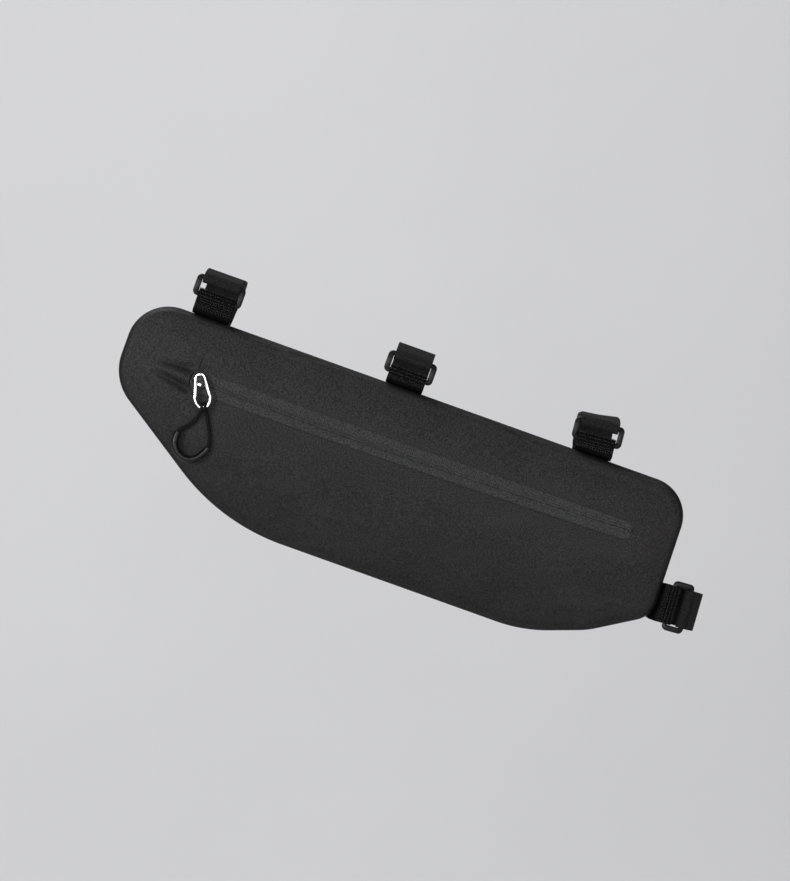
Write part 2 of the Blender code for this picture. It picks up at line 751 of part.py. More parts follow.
def ribbon(name, line, spread, look, parent):
    """A strap along a line: spread places a point of it at the strap's front or rear edge."""
    rows = []
    for i, point in enumerate(line):
        before, after = line[max(i - 1, 0)], line[min(i + 1, len(line) - 1)]
        into, onward = point - before, after - point
        if i == 0:
            into = onward
        if i == len(line) - 1:
            onward = into
        run = (into.normalized() + onward.normalized()).normalized()
        bend = max(math.cos(into.angle(onward) / 2), 0.7)
        normal = Vector((-run.y, run.x)) * (STRAP_THICKNESS / 2 / bend)
        one, other = point + normal, point - normal
        low = point.y
        rows.append([spread(one, -1, low), spread(one, 1, low), spread(other, 1, low), spread(other, -1, low)])
    points, faces = loft(rows, True, True)
    return mesh_object(name, points, faces, look, parent, smooth_angle=50.0)


def build_ring(name, centre, up, spread_middle, look, parent):
    """A moulded rectangular ring, bowed out a little between its bars."""
    half_width = STRAP_WIDTH / 2 + RING_SIDE_ROOM + RING_BAR / 2
    corners = [
        Vector((-half_width, -BAR_REACH)),
        Vector((half_width, -BAR_REACH)),
        Vector((half_width, BAR_REACH)),
        Vector((-half_width, BAR_REACH)),
    ]
    line = rounded(corners, [RING_CORNER - RING_BAR / 2] * 4, BEND_TURN, step=0.004, cyclic=True)
    out = Vector((-up.y, up.x))
    points = []
    for point in line:
        bow = RING_BOW * (1 - (point.y / BAR_REACH) ** 2)
        place = centre + up * point.y + out * bow
        points.append(spread_middle(place, point.x))
    return tube_curve(name, points, RING_BAR / 2, look, parent, cyclic=True)


def build_strap(name, parent, looks, size, lean, sewn, tip, shoulder, surface):
    """One strap with its ring, in a frame whose x is the tube, y is across and z is outwards."""
    half_tube, passage, _ = size
    turn, flare, skew = lean
    base_line, wrap_line, centre, up = strap_lines(size, sewn, tip, shoulder, surface)

    def place(along, point, low):
        """Leans a point forward, by less where the strap lies on the gusset."""
        seat = GAP + STRAP_THICKNESS
        angle = math.radians(turn) * smooth((low - seat) / (2 * STRAP_THICKNESS))
        cosine, sine = math.cos(angle), math.sin(angle)
        return (along * cosine - point.y * sine, point.x, along * sine + point.y * cosine)

    def base_place(point, edge, low):
        return place(edge * STRAP_WIDTH / 2, point, low)

    def wrap_place(point, edge, low):
        share = smooth((point.x + half_tube) / (2 * shoulder))
        high = min(point.y / passage, 1.0) * share
        lifted = Vector((point.x, point.y + edge * flare / 2 * high))
        return place(edge * STRAP_WIDTH / 2 + skew * high, lifted, low)

    def ring_place(point, along):
        return place(along, point, 1.0)

    pile, plastic, wrap = looks
    ribbon(f"strap_{name}_base", base_line, base_place, pile, parent)
    build_ring(f"strap_{name}_ring", centre, up, ring_place, plastic, parent)
    ribbon(f"strap_{name}_wrap", wrap_line, wrap_place, wrap, parent)


def empty(name, parent, location, rotation=(0, 0, 0)):
    made = bpy.data.objects.new(name, None)
    made.parent = parent
    made.location = location
    made.rotation_euler = rotation
    PARTS.objects.link(made)
    return made


def build_straps(hanger, looks):
    for name, along, passage, ring, turn, flare, skew in TOP_STRAPS:
        foot = at(along, 0)
        frame = empty(f"{name}_strap_foot", hanger, (foot.x, 0, foot.y))
        build_strap(
            name, frame, looks, (TOP_TUBE_WIDTH / 2, passage, ring), (turn, flare, skew),
            TOP_STRAP_SEWN, 0.0, TOP_SHOULDER, lambda across: 0.0,
        )
    high, low = at(*OUTLINE_CORNERS[1][:2]), at(*OUTLINE_CORNERS[2][:2])
    foot = high.lerp(low, (SEAT_STRAP_DOWN - OUTLINE_CORNERS[1][1]) * BAG_HEIGHT / (high.y - low.y))
    slant = math.atan2(low.x - high.x, high.y - low.y)
    frame = empty("seat_strap_foot", hanger, (foot.x, 0, foot.y), (0, math.pi / 2 - slant, 0))
    build_strap(
        "seat", frame, looks, (SEAT_TUBE_WIDTH / 2, SEAT_PASSAGE, SEAT_RING),
        (SEAT_TUBE_LEAN - math.degrees(slant), 0.0, 0.0),
        SEAT_STRAP_SEWN, SEAT_RING_TIP, SEAT_TUBE_WIDTH / 2, dented,
    )


def build_zip(hanger, looks):
    """The tapes, the slider on the slit's front end, the end stop, and what hangs from the slider."""
    tape, metal, cord, rubber, plastic = looks
    build_tapes(hanger, tape)
    build_end_stop(hanger, plastic)
    _, down, half_width, slit = SLOT_STATIONS[0]
    seat_at = at(SLIDER_PLACE, down + slit * half_width)
    seat = empty("slider_seat", hanger, (seat_at.x, -HALF_DEPTH, seat_at.y + SLIDER_RISE))
    build_slider(seat, metal)
    hang = -math.radians(TUBE_SLOPE + PULLER_SWING)
    hook = empty("puller_hook", seat, (0, 0, 0), (0, hang, 0))
    build_puller(hook, metal)
    bar = empty("lowest_bar", hook, (PULLER_SHIFT, 0, PULLER_RISE - PULLER_LENGTH))
    build_cord(bar, cord, rubber)
    build_hitch(bar, cord)


clear_scene()
PARTS = bpy.data.collections.new("frame_bag")
CUTTERS = bpy.data.collections.new("cutters")
bpy.context.scene.collection.children.link(PARTS)
bpy.context.scene.collection.children.link(CUTTERS)
FABRIC = material("coated fabric", (0.035, 0.034, 0.034), 0.62)
TAPE = material("laminated tape", (0.045, 0.046, 0.045), 0.50)
METAL = material("bright metal", (0.78, 0.78, 0.79), 0.22, 1.0)
CORD = material("black cord", (0.012, 0.012, 0.012), 0.75)
RUBBER = material("black rubber", (0.020, 0.020, 0.020), 0.40)
PILE = material("loop pile", (0.010, 0.010, 0.010), 0.95)
PLASTIC = material("moulded plastic", (0.020, 0.020, 0.021), 0.35)
WEBBING = material("woven strap", (0.030, 0.029, 0.030), 0.80)

HANGER = empty("top_tube_slope", None, (0, 0, 0), (0, math.radians(TUBE_SLOPE), 0))
build_shell(HANGER, FABRIC)
build_zip(HANGER, (TAPE, METAL, CORD, RUBBER, PLASTIC))
build_straps(HANGER, (PILE, PLASTIC, WEBBING))
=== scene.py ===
"""The looks of a waterproof bicycle frame bag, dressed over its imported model.

Metres, +Z up. +X points to the rear of the bicycle and +Y away from the side with the zip. The
bag is drawn level, as (along, across, up) from the middle of the middle strap's passage, and
then turned to the slope of the tube that it hangs from.
"""

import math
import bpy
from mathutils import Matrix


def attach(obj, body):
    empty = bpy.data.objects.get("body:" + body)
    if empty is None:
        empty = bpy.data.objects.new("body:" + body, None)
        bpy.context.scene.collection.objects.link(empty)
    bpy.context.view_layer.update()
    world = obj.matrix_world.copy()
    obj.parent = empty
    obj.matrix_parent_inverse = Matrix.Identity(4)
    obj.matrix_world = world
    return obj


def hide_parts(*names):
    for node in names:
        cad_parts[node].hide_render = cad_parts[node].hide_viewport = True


bl_info = {
    "name": "Bicycle Frame Bag",
    "version": (1, 0, 0),
    "blender": (4, 5, 0),
    "location": "3D View > Sidebar > Frame Bag",
    "description": "Builds a coated frame bag with its zip, its cord and its hook-and-loop straps",
    "category": "Add Mesh",
}

import bpy
import numpy as np
from bpy.props import FloatProperty, FloatVectorProperty, IntProperty, PointerProperty
from mathutils import Matrix, Vector, noise

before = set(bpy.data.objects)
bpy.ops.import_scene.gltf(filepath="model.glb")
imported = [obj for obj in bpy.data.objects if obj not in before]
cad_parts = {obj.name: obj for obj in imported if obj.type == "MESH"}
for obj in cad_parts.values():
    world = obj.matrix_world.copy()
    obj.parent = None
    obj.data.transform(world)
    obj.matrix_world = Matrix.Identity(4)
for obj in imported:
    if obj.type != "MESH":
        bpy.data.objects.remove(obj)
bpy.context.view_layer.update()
GAP = 0.0003  # between pieces that touch
TAPE_ROOM = 0.00003  # between a tape and the edge of the slot
TAPE_SINK = 0.00007  # of a tape below the panel

# The outline's corners, clockwise from the top front. Along is a share of the length from the
# front end, down and radius are shares of the height.
# (along, down, radius)
OUTLINE_CORNERS = (
    (0.0020, 0.000, 0.225),
    (0.9980, 0.000, 0.205),
    (1.0030, 0.697, 0.140),
    (0.9080, 0.880, 0.490),
    (0.8030, 1.000, 0.820),
    (0.2580, 1.000, 1.148),
    (0.0020, 0.473, 0.265),
)

# The zip's slot. Slit is how far below its middle the lips meet, as a share of its half width.
# (along, down, half_width, slit)
SLOT_STATIONS = (
    (0.1463, 0.335, 0.0590, 0.08),
    (0.5580, 0.330, 0.0560, 0.24),
    (0.9070, 0.314, 0.0490, -0.12),
)

# The plain back panel's flat middle
# (along, down, half_width)
BACK_STATIONS = (
    (0.1900, 0.420, 0.030),
    (0.5500, 0.480, 0.030),
    (0.8900, 0.480, 0.030),
)

# Ridges and hollows of the zip side, each along a line. Along is a share of the length, the rest
# of the height.
# (name, from_along, from_down, to_along, to_down, from_half_width, to_half_width, from_rise, to_rise)
RELIEF = (
    ("zip garage", 0.068, 0.330, 0.126, 0.337, 0.034, 0.054, 0.006, 0.018),
    ("hollow above the garage", 0.066, 0.292, 0.124, 0.284, 0.026, 0.036, -0.002, -0.013),
    ("hollow below the garage", 0.066, 0.360, 0.126, 0.386, 0.028, 0.040, -0.003, -0.021),
    ("pucker over the slider", 0.142, 0.190, 0.146, 0.262, 0.024, 0.030, -0.001, -0.006),
    ("fold behind the front strap", 0.270, 0.040, 0.340, 0.024, 0.028, 0.020, -0.008, -0.003),
    ("fold before the rear strap", 0.628, 0.020, 0.700, 0.040, 0.022, 0.030, -0.003, -0.008),
    ("sag of the lower front", 0.180, 0.640, 0.300, 0.860, 0.200, 0.240, 0.006, 0.010),
    ("sag of the middle", 0.450, 0.800, 0.700, 0.800, 0.240, 0.240, 0.010, 0.010),
)

# Sharp creases pressed into the coating, too fine for the mesh, and wider hollows beside the zip garage. Each
# is pressed into the bump and painted darker in colour as painted shade. Along and down are shares of the
# length and height, width is in metres.
# (from_along, from_down, to_along, to_down, width, depth)
CREASES = (
    (0.1368, 0.196, 0.1372, 0.285, 0.0011, 0.9),
    (0.2680, 0.026, 0.3350, 0.017, 0.0016, 0.8),
    (0.6170, 0.012, 0.6920, 0.031, 0.0016, 0.8),
    (0.1580, -0.004, 0.1720, 0.026, 0.0013, 0.7),
    (0.0740, 0.296, 0.1180, 0.288, 0.0016, 0.5),
    (0.0740, 0.350, 0.1180, 0.376, 0.0016, 0.5),
    (0.0700, 0.358, 0.1240, 0.380, 0.0036, 0.42),
    (0.0660, 0.292, 0.1220, 0.286, 0.0028, 0.26),
)

# The three straps round the top tube. Along is a share of the length. Passage and ring are
# heights above the bag. Turn is how far the strap leans forward, in degrees. Flare is how much
# higher the passage is at the strap's rear edge, and skew how far its top lies to the rear.
# (name, along, passage, ring, turn, flare, skew)
TOP_STRAPS = (
    ("front", 0.1237, 0.0265, 0.0187, 0.0, 0.0000, 0.0015),
    ("middle", 0.4737, 0.0230, 0.0138, 0.0, 0.0000, 0.0000),
    ("rear", 0.8150, 0.0225, 0.0152, 5.0, 0.0032, -0.0020),
)
MIDDLE_STRAP = 1  # the row whose passage holds the origin

# The lines of thread along the zip's slit. Drop is below the slit in metres, sunk a share of the
# lip's height, and lean in radians.
# (drop, sunk, lean)
THREAD_LINES = (
    (0.0006, 0.00, 0.30),
    (-0.0013, 0.04, 0.00),
    (-0.0026, 0.50, 0.00),
)

# The puller's outline down its length. Drop is a share of its length, half_width and corner of
# its width.
# (drop, half_width, corner)
PULLER_SHAPE = (
    (0.00, 0.17, 0.12),
    (0.10, 0.24, 0.30),
    (0.45, 0.35, 0.80),
    (0.72, 0.43, 0.30),
    (0.87, 0.37, 0.25),
    (1.00, 0.22, 0.10),
)

# The hitch by which the cord grips the puller's lowest bar, from its rear foot over the bar,
# across in front and back, in shares of the distance from the bar's middle to the cord's.
# (right, up, out)
HITCH_ROUTE = (
    (0.62, -1.70, -1.00),
    (0.56, -0.80, -1.02),
    (0.54, 0.00, -1.00),
    (0.54, 0.74, -0.70),
    (0.54, 1.00, 0.00),
    (0.54, 0.72, 0.70),
    (0.54, 0.00, 1.00),
    (0.44, -0.62, 1.00),
    (0.00, -0.96, 0.98),
    (-0.44, -0.62, 1.00),
    (-0.54, 0.00, 1.00),
    (-0.54, 0.72, 0.70),
    (-0.54, 1.00, 0.00),
    (-0.54, 0.74, -0.70),
    (-0.54, 0.00, -1.00),
    (-0.68, -0.76, -1.02),
    (-1.16, -1.50, -1.00),
)

# The cord's route from the hitch down one strand, through the sleeve and up the other. Right and
# up are from the middle of the puller's lowest bar, as shares of the puller's length, and out is
# from the zip side's face, in metres.
# (right, up, out)
CORD_ROUTE = (
    (0.063, -0.188, 0.0020),
    (0.072, -0.426, 0.0017),
    (0.085, -0.788, 0.0017),
    (0.066, -1.022, 0.0020),
    (-0.014, -1.270, 0.0024),
    (-0.157, -1.405, 0.0024),
    (-0.363, -1.521, 0.0024),
    (-0.579, -1.559, 0.0024),
    (-0.789, -1.496, 0.0024),
    (-0.956, -1.313, 0.0024),
    (-1.026, -1.089, 0.0024),
    (-0.995, -0.900, 0.0024),
    (-0.868, -0.676, 0.0022),
    (-0.700, -0.588, 0.0018),
    (-0.455, -0.478, 0.0017),
    (-0.240, -0.305, 0.0018),
    (-0.122, -0.163, 0.0020),
)
SLEEVE_FROM = 4  # the route's rows between which the sleeve lies
SLEEVE_TO = 12

STITCH = {"Pitch": 0.0026, "Length": 0.0021, "Width": 0.00050, "Height": 0.00042, "Wobble": 0.05, "Seed": 5}
STITCHED_EDGE = 0.86  # share of the half width at which the rows of stitches run
STRAP_STEP = 0.0013  # between the points of a strap's line
RIM_STEPS = 8  # in the quarter turn of the shell's rim
FRONT_RINGS = 42  # of the shell, between the slot and the rim
GUSSET_RINGS = 16
BACK_RINGS = 26
TAPE_STEPS = 380  # along a tape
THREAD_STEPS = 300  # along a line of thread on the zip
CORD_SIDES = 18
SLEEVE_SIDES = 24

# The camera looks square at the zip side. The photo is 881 pixels high, at 1.545 pixels to a
# millimetre in the straps' plane.
FRAME_MIDDLE = (-0.0093, 0.0, -0.0448)
FRAME_HEIGHT = 881 / 1545.0
STRAPS_OUT = 0.02  # of the straps' plane from the bag's middle, towards the camera
SENSOR = 36.0  # millimetres

# (name, setting, place, target, size)
LAMPS = (
    ("key_light", "key", (-2.1, -2.5, 0.55), FRAME_MIDDLE, 1.1),
    ("fill_light", "fill", (2.0, -2.6, 0.10), FRAME_MIDDLE, 1.6),
    ("front_light", "front", (-0.25, -3.7, 0.10), FRAME_MIDDLE, 1.3),
    ("backdrop_light", "back", (-0.6, 0.8, 2.6), (0.0, 3.4, 0.1), 2.2),
)


def metres(name, description, default):
    return FloatProperty(
        name=name, description=description, default=default, min=0.0,
        subtype="DISTANCE", unit="LENGTH", precision=5,
    )


def degrees(name, description, default):
    return FloatProperty(
        name=name, description=description, default=math.radians(default), subtype="ANGLE", unit="ROTATION",
    )


def watts(name, description, default):
    return FloatProperty(name=name, description=description, default=default, unit="POWER")


def paint(name, description, default):
    return FloatVectorProperty(
        name=name, description=description, default=default, size=3, min=0.0, max=1.0, subtype="COLOR",
    )


class BagSettings(bpy.types.PropertyGroup):
    slope: degrees("Slope", "Fall of the top tube towards the rear", 19.7)
    length: metres("Length", "Length of the bag along the top tube", 0.380)
    height: metres("Height", "Height of the bag under the top tube", 0.122)
    depth: metres("Depth", "Thickness of the bag across the bicycle", 0.060)
    wall: metres("Wall", "Thickness of the coated fabric with its foam", 0.002)
    rim: metres("Rim radius", "Rounding of the welded edge between a panel and the gusset", 0.007)
    front_crown: metres("Zip side crown", "Swell of the zip side from its rim to the zip", 0.003)
    back_crown: metres("Back crown", "Swell of the back panel", 0.002)
    seat_dent: metres("Seat tube dent", "How far the seat tube presses into the gusset", 0.004)
    undulation: metres("Undulation", "Height of the soft waves in the panels", 0.00045)
    grain: metres("Grain", "Size of the coating's fine grain", 0.0010)
    front_color: paint("Front colour", "Colour of the coating towards the front", (0.0230, 0.0232, 0.0226))
    # Towards the rear the coating is given a darker, more purple colour; the darkening is painted shade
    rear_shaded_color: paint("Rear colour", "Colour of the coating towards the rear", (0.0228, 0.0208, 0.0215))
    # Painted highlight: the weld line along the rim is painted lighter than the coating
    weld_highlight_color: paint("Weld colour", "Colour of the polished weld along the rim", (0.040, 0.038, 0.039))


class ZipSettings(bpy.types.PropertyGroup):
    tape_thickness: metres("Tape", "Thickness of a laminated tape", 0.0012)
    lip: metres("Lip", "How far the lips stand proud along the slit", 0.0005)
    lip_width: metres("Lip width", "Width of a lip over the coil beneath", 0.0016)
    slit: metres("Slit", "Width of the slit between the lips", 0.00012)
    rib: metres("Thread pitch", "Spacing of the threads' turns along the zip", 0.0013)
    tape_color: paint("Tape colour", "Colour of the laminated tape", (0.0310, 0.0322, 0.0308))
    slider_length: metres("Slider length", "Length of the slider's body", 0.0105)
    slider_width: metres("Slider width", "Width of the slider's shoulders", 0.0090)
    slider_height: metres("Slider height", "Height of the slider's body", 0.0022)
    slider_place: FloatProperty(
        name="Slider place", description="Share of the length at which the slider sits",
        default=0.143, min=0.0, max=1.0, subtype="FACTOR",
    )
    slider_rise: metres("Slider rise", "How far the slider's middle lies above the slit", 0.0007)
    bail_wire: metres("Bail", "Thickness of the slider's bail", 0.0012)
    bail_rise: metres("Bail rise", "How far the bail stands above the slider's middle", 0.00214)
    puller_length: metres("Puller length", "Length of the puller's loop", 0.0209)
    puller_width: metres("Puller width", "Width of the puller's loop", 0.0120)
    puller_wire: metres("Puller wire", "Thickness of the puller's wire", 0.0016)
    puller_swing: degrees("Puller swing", "How far the puller hangs off the vertical", 6.6)
    puller_rise: metres("Puller rise", "How far its upper bar lies above the slider's middle", 0.00443)
    puller_shift: metres("Puller shift", "How far it lies to the rear of it", 0.0013)
    stop_length: metres("Stop length", "Length of the end stop along the zip", 0.0014)
    stop_width: metres("Stop width", "Width of the end stop across the zip", 0.0024)
    stop_height: metres("Stop height", "Height of the end stop", 0.0008)
    metal_color: paint("Metal colour", "Colour of the bright metal", (0.88, 0.88, 0.89))


class CordSettings(bpy.types.PropertyGroup):
    diameter: metres("Cord", "Diameter of the cord", 0.0024)
    hitch: metres("Hitch", "Diameter of the cord where it is pulled tight", 0.0020)
    sleeve: metres("Sleeve", "Diameter of the rubber sleeve", 0.0042)
    bore_room: metres("Bore room", "Room round the cord in the sleeve", 0.0003)
    cord_color: paint("Cord colour", "Colour of the braided cord", (0.0040, 0.0040, 0.0042))
    rubber_color: paint("Rubber colour", "Colour of the rubber sleeve", (0.0045, 0.0045, 0.0047))


class StrapSettings(bpy.types.PropertyGroup):
    width: metres("Width", "Width of the hook-and-loop strap", 0.025)
    thickness: metres("Thickness", "Thickness of the strap", 0.002)
    top_tube: metres("Top tube", "Width of the passage for the top tube", 0.040)
    seat_tube: metres("Seat tube", "Width of the passage for the seat tube", 0.030)
    seat_lean: degrees("Seat lean", "Angle between the seat tube and the bag's rear edge", 3.5)
    seat_passage: metres("Seat passage", "Height of the seat strap's passage", 0.0244)
    seat_ring: metres("Seat ring", "Height of the seat strap's ring", 0.0144)
    seat_tip: degrees("Seat ring tip", "How far the seat strap's ring leans to the tube", 12.0)
    seat_down: FloatProperty(
        name="Seat strap place", description="Share of the height at which the seat strap sits",
        default=0.612, min=0.0, max=1.0, subtype="FACTOR",
    )
    top_sewn: metres("Top sewn end", "How far a top strap's sewn end reaches under the tube", 0.014)
    seat_sewn: metres("Seat sewn end", "How far the seat strap's sewn end reaches", 0.006)
    wrap_end: metres("Wrap end", "Height above the bag at which the folded wrap ends", 0.011)
    bar: metres("Ring bar", "Thickness of a ring's bars", 0.003)
    side_bar: metres("Ring side bar", "Width of a ring's side bars", 0.0037)
    window: metres("Ring window", "Clear height between the two straps in a ring", 0.0036)
    rib: metres("Rib pitch", "Spacing of the ribs along a wrap", 0.0020)
    loop: metres("Loop pitch", "Spacing of the loops on a base", 0.0017)
    seed: IntProperty(name="Seed", description="Seed of the loops' small irregularities", default=7)
    pile_color: paint("Pile colour", "Colour of the cloth under the loops", (0.0022, 0.0022, 0.0023))
    loop_color: paint("Loop colour", "Colour of the loops", (0.0500, 0.0500, 0.0510))
    wrap_color: paint("Wrap colour", "Colour of the wraps", (0.0110, 0.0110, 0.0114))
    plastic_color: paint("Plastic colour", "Colour of the rings", (0.0070, 0.0070, 0.0074))
    thread_color: paint("Thread colour", "Colour of the sewing thread", (0.0080, 0.0080, 0.0084))


class StageSettings(bpy.types.PropertyGroup):
    floor: metres("Drop", "How far the floor lies below the origin", 0.800)
    camera_distance: metres("Camera distance", "Distance of the camera from the bag", 3.2)
    key: watts("Key", "Power of the light from the left", 50.0)
    fill: watts("Fill", "Power of the light from the right", 14.0)
    front: watts("Front", "Power of the light behind the camera", 26.0)
    back: watts("Backdrop", "Power of the backdrop's light", 94.0)
    air: FloatProperty(name="Air", description="Strength of the light from all round", default=0.10)
    floor_color: paint("Floor colour", "Colour of the floor and backdrop", (0.62, 0.62, 0.635))


# Lines and places in the bag's own frame


def bag_front():
    return -TOP_STRAPS[MIDDLE_STRAP][1] * bpy.context.scene.bag.length


def bag_top():
    return -TOP_STRAPS[MIDDLE_STRAP][2] / 2


def at(along, down):
    """A place on the bag's side, from shares of its length and height."""
    bag = bpy.context.scene.bag
    return Vector((bag_front() + along * bag.length, bag_top() - down * bag.height))


def blend(low, high, share):
    return low + (high - low) * share


def smooth(value):
    value = np.clip(value, 0.0, 1.0)
    return value * value * (3 - 2 * value)


def turned(vector, angle):
    cosine, sine = math.cos(angle), math.sin(angle)
    return Vector((vector.x * cosine - vector.y * sine, vector.x * sine + vector.y * cosine))


def rounded(points, radii, turn, step=None, cyclic=False):
    """A polyline with its corners rounded, each to its radius or to what its sides leave."""
    count = len(points)
    corners = []
    for i, point in enumerate(points):
        if not cyclic and i in (0, count - 1):
            corners.append([point])
            continue
        before = points[i - 1] - point
        after = points[(i + 1) % count] - point
        half = before.angle(after) / 2
        room = 0.49 * min(before.length, after.length)
        reach = min(radii[i] / math.tan(half), room)
        radius = reach * math.tan(half)
        if radius < 1e-5:
            corners.append([point])
            continue
        inward = (before.normalized() + after.normalized()).normalized()
        centre = point + inward * (radius / math.sin(half))
        start = point + before.normalized() * reach - centre
        sweep = math.pi - 2 * half
        pieces = max(1, math.ceil(math.degrees(sweep) / turn))
        if step:
            pieces = max(pieces, math.ceil(sweep * radius / step))
        sign = 1 if before.x * after.y - before.y * after.x < 0 else -1
        corners.append([centre + turned(start, sign * sweep * k / pieces) for k in range(pieces + 1)])
    line = []
    for i, corner in enumerate(corners):
        line.extend(corner)
        last = i == count - 1
        if step and (cyclic or not last):
            ahead = corners[(i + 1) % count][0]
            pieces = math.ceil((ahead - corner[-1]).length / step)
            line.extend(corner[-1].lerp(ahead, k / pieces) for k in range(1, pieces))
    return line


def evened(line, step):
    """A line with points added so that none are further apart than a step."""
    even = [line[0]]
    for point in line[1:]:
        start = even[-1]
        pieces = max(1, math.ceil((point - start).length / step))
        even.extend(start.lerp(point, k / pieces) for k in range(1, pieces + 1))
    return even


def merged(line):
    """A line without points that repeat the one before."""
    kept = [line[0]]
    for point in line[1:]:
        if (point - kept[-1]).length > 1e-5:
            kept.append(point)
    return kept


def smooth_route(route, pieces):
    """Points of a smooth curve through a route, evenly shared between its rows."""
    points = []
    for i in range(len(route) - 1):
        before = route[max(i - 1, 0)]
        here, there = route[i], route[i + 1]
        after = route[min(i + 2, len(route) - 1)]
        for k in range(pieces):
            t = k / pieces
            points.append(
                0.5 * (2 * here + (there - before) * t
                       + (2 * before - 5 * here + 4 * there - after) * t * t
                       + (3 * here - before - 3 * there + after) * t ** 3)
            )
    points.append(route[-1])
    return points


def station(rows, share):
    """The values of three rows of a table, joined by a smooth curve."""
    middle = (rows[1][0] - rows[0][0]) / (rows[2][0] - rows[0][0])
    first = (share - middle) * (share - 1) / middle
    second = share * (share - 1) / (middle * (middle - 1))
    third = share * (share - middle) / (1 - middle)
    return [first * a + second * b + third * c for a, b, c in zip(*rows)]


def spine_edge(rows, points):
    """For each point, the nearest one of the rounded band round a spine."""
    bag = bpy.context.scene.bag
    first, last = at(rows[0][0], rows[0][1]), at(rows[2][0], rows[2][1])
    share = np.clip((points[:, 0] - first.x) / (last.x - first.x), 0.0, 1.0)
    along, down, half_width = station([row[:3] for row in rows], share)
    centre = np.stack([bag_front() + along * bag.length, bag_top() - down * bag.height], axis=1)
    away = points - centre
    away[(share > 0) & (share < 1), 0] = 0.0
    away /= np.linalg.norm(away, axis=1, keepdims=True)
    return centre + away * (half_width * bag.height)[:, None]


def relief(points):
    """How far the zip side stands out at each point, for its ridges and hollows."""
    height = bpy.context.scene.bag.height
    rise = np.zeros(len(points))
    for _, along_a, down_a, along_b, down_b, width_a, width_b, rise_a, rise_b in RELIEF:
        start, end = np.array(at(along_a, down_a)), np.array(at(along_b, down_b))
        run = end - start
        share = np.clip((points - start) @ run / (run @ run), 0.0, 1.0)
        nearest = start + share[:, None] * run
        away = np.linalg.norm(points - nearest, axis=1) / (blend(width_a, width_b, share) * height)
        lump = np.cos(np.minimum(away, 1.0) * math.pi / 2) ** 2
        rise += blend(rise_a, rise_b, share) * height * lump
    return rise


def waves(points, across):
    """Soft uneven waves of a hand-filled bag, at places on one of its sides."""
    depth = bpy.context.scene.bag.undulation
    found = []
    for x, z in points:
        broad = noise.noise(Vector((x * 26, across * 40, z * 34)))
        fine = noise.noise(Vector((x * 74 + 9, across * 40, z * 82)))
        found.append((0.75 * broad + 0.25 * fine) * depth)
    return np.array(found)


def dented(across):
    """The height of the rear gusset across the bag, where the seat tube presses in."""
    bag = bpy.context.scene.bag
    front_edge, back_edge = bag.depth / 2 - bag.front_crown, bag.depth / 2 - bag.back_crown
    near, far = bag.rim - front_edge, back_edge - bag.rim
    if not near < across < far:
        return 0.0
    fade = float(smooth(min(across - near, far - across) / 0.004))
    share = min(abs(across) / (bag.depth / 2) * 1.3, 1.0)
    return -bag.seat_dent * fade * math.cos(share * math.pi / 2) ** 2


def hang():
    """The slope of the top tube."""
    return Matrix.Rotation(bpy.context.scene.bag.slope, 4, "Y")


def slider_seat():
    """The middle of the slider's foot, on the slit's front end."""
    scene = bpy.context.scene
    _, down, half_width, slit = SLOT_STATIONS[0]
    place = at(scene.zip.slider_place, down + slit * half_width)
    return hang() @ Matrix.Translation((place.x, -scene.bag.depth / 2, place.y + scene.zip.slider_rise))


def puller_hook():
    scene = bpy.context.scene
    return slider_seat() @ Matrix.Rotation(-(scene.bag.slope + scene.zip.puller_swing), 4, "Y")


def lowest_bar():
    zipper = bpy.context.scene.zip
    drop = zipper.puller_rise - zipper.puller_length
    return puller_hook() @ Matrix.Translation((zipper.puller_shift, 0, drop))


def puller_out():
    """How far the puller's wire lies out from the zip side's face."""
    zipper = bpy.context.scene.zip
    return zipper.slider_height + zipper.lip + 2 * GAP + zipper.puller_wire / 2


# Meshes


def new_piece(name, points, faces, look, matrix=None, uvs=None, values=None, flat=None):
    """A mesh object at the origin. uvs has a pair for each point, values are point attributes."""
    mesh = bpy.data.meshes.new(name)
    if matrix is not None:
        points = [matrix @ Vector(point) for point in points]
    mesh.from_pydata([tuple(point) for point in points], [], faces)
    if uvs is not None:
        layer = mesh.uv_layers.new(name="cloth")
        corners = np.zeros(len(mesh.loops), dtype=np.int32)
        mesh.loops.foreach_get("vertex_index", corners)
        layer.data.foreach_set("uv", np.array(uvs, dtype=np.float32)[corners].ravel())
    for label, numbers in (values or {}).items():
        stored = mesh.attributes.new(label, "FLOAT", "POINT")
        stored.data.foreach_set("value", np.array(numbers, dtype=np.float32))
    mesh.materials.append(look)
    mesh.shade_smooth()
    if flat is not None:
        mesh.set_sharp_from_angle(angle=math.radians(flat))
    made = bpy.data.objects.new(name, mesh)
    bpy.context.scene.collection.objects.link(made)
    return made


def turned_out(made):
    """Faces that all point outwards."""
    bpy.context.view_layer.objects.active = made
    mesh = made.data
    volume = 0.0
    points = np.zeros(len(mesh.vertices) * 3, dtype=np.float64)
    mesh.vertices.foreach_get("co", points)
    points = points.reshape(-1, 3)
    middle = points.mean(axis=0)
    for face in mesh.polygons:
        corners = points[list(face.vertices)] - middle
        for k in range(1, len(corners) - 1):
            volume += float(np.dot(corners[0], np.cross(corners[k], corners[k + 1])))
    if volume < 0:
        mesh.flip_normals()
    return made


def settled(made):
    """A piece with its modifiers applied, as one plain mesh."""
    graph = bpy.context.evaluated_depsgraph_get()
    mesh = bpy.data.meshes.new_from_object(made.evaluated_get(graph))
    made.modifiers.clear()
    old, made.data = made.data, mesh
    bpy.data.meshes.remove(old)
    mesh.name = made.name
    return made


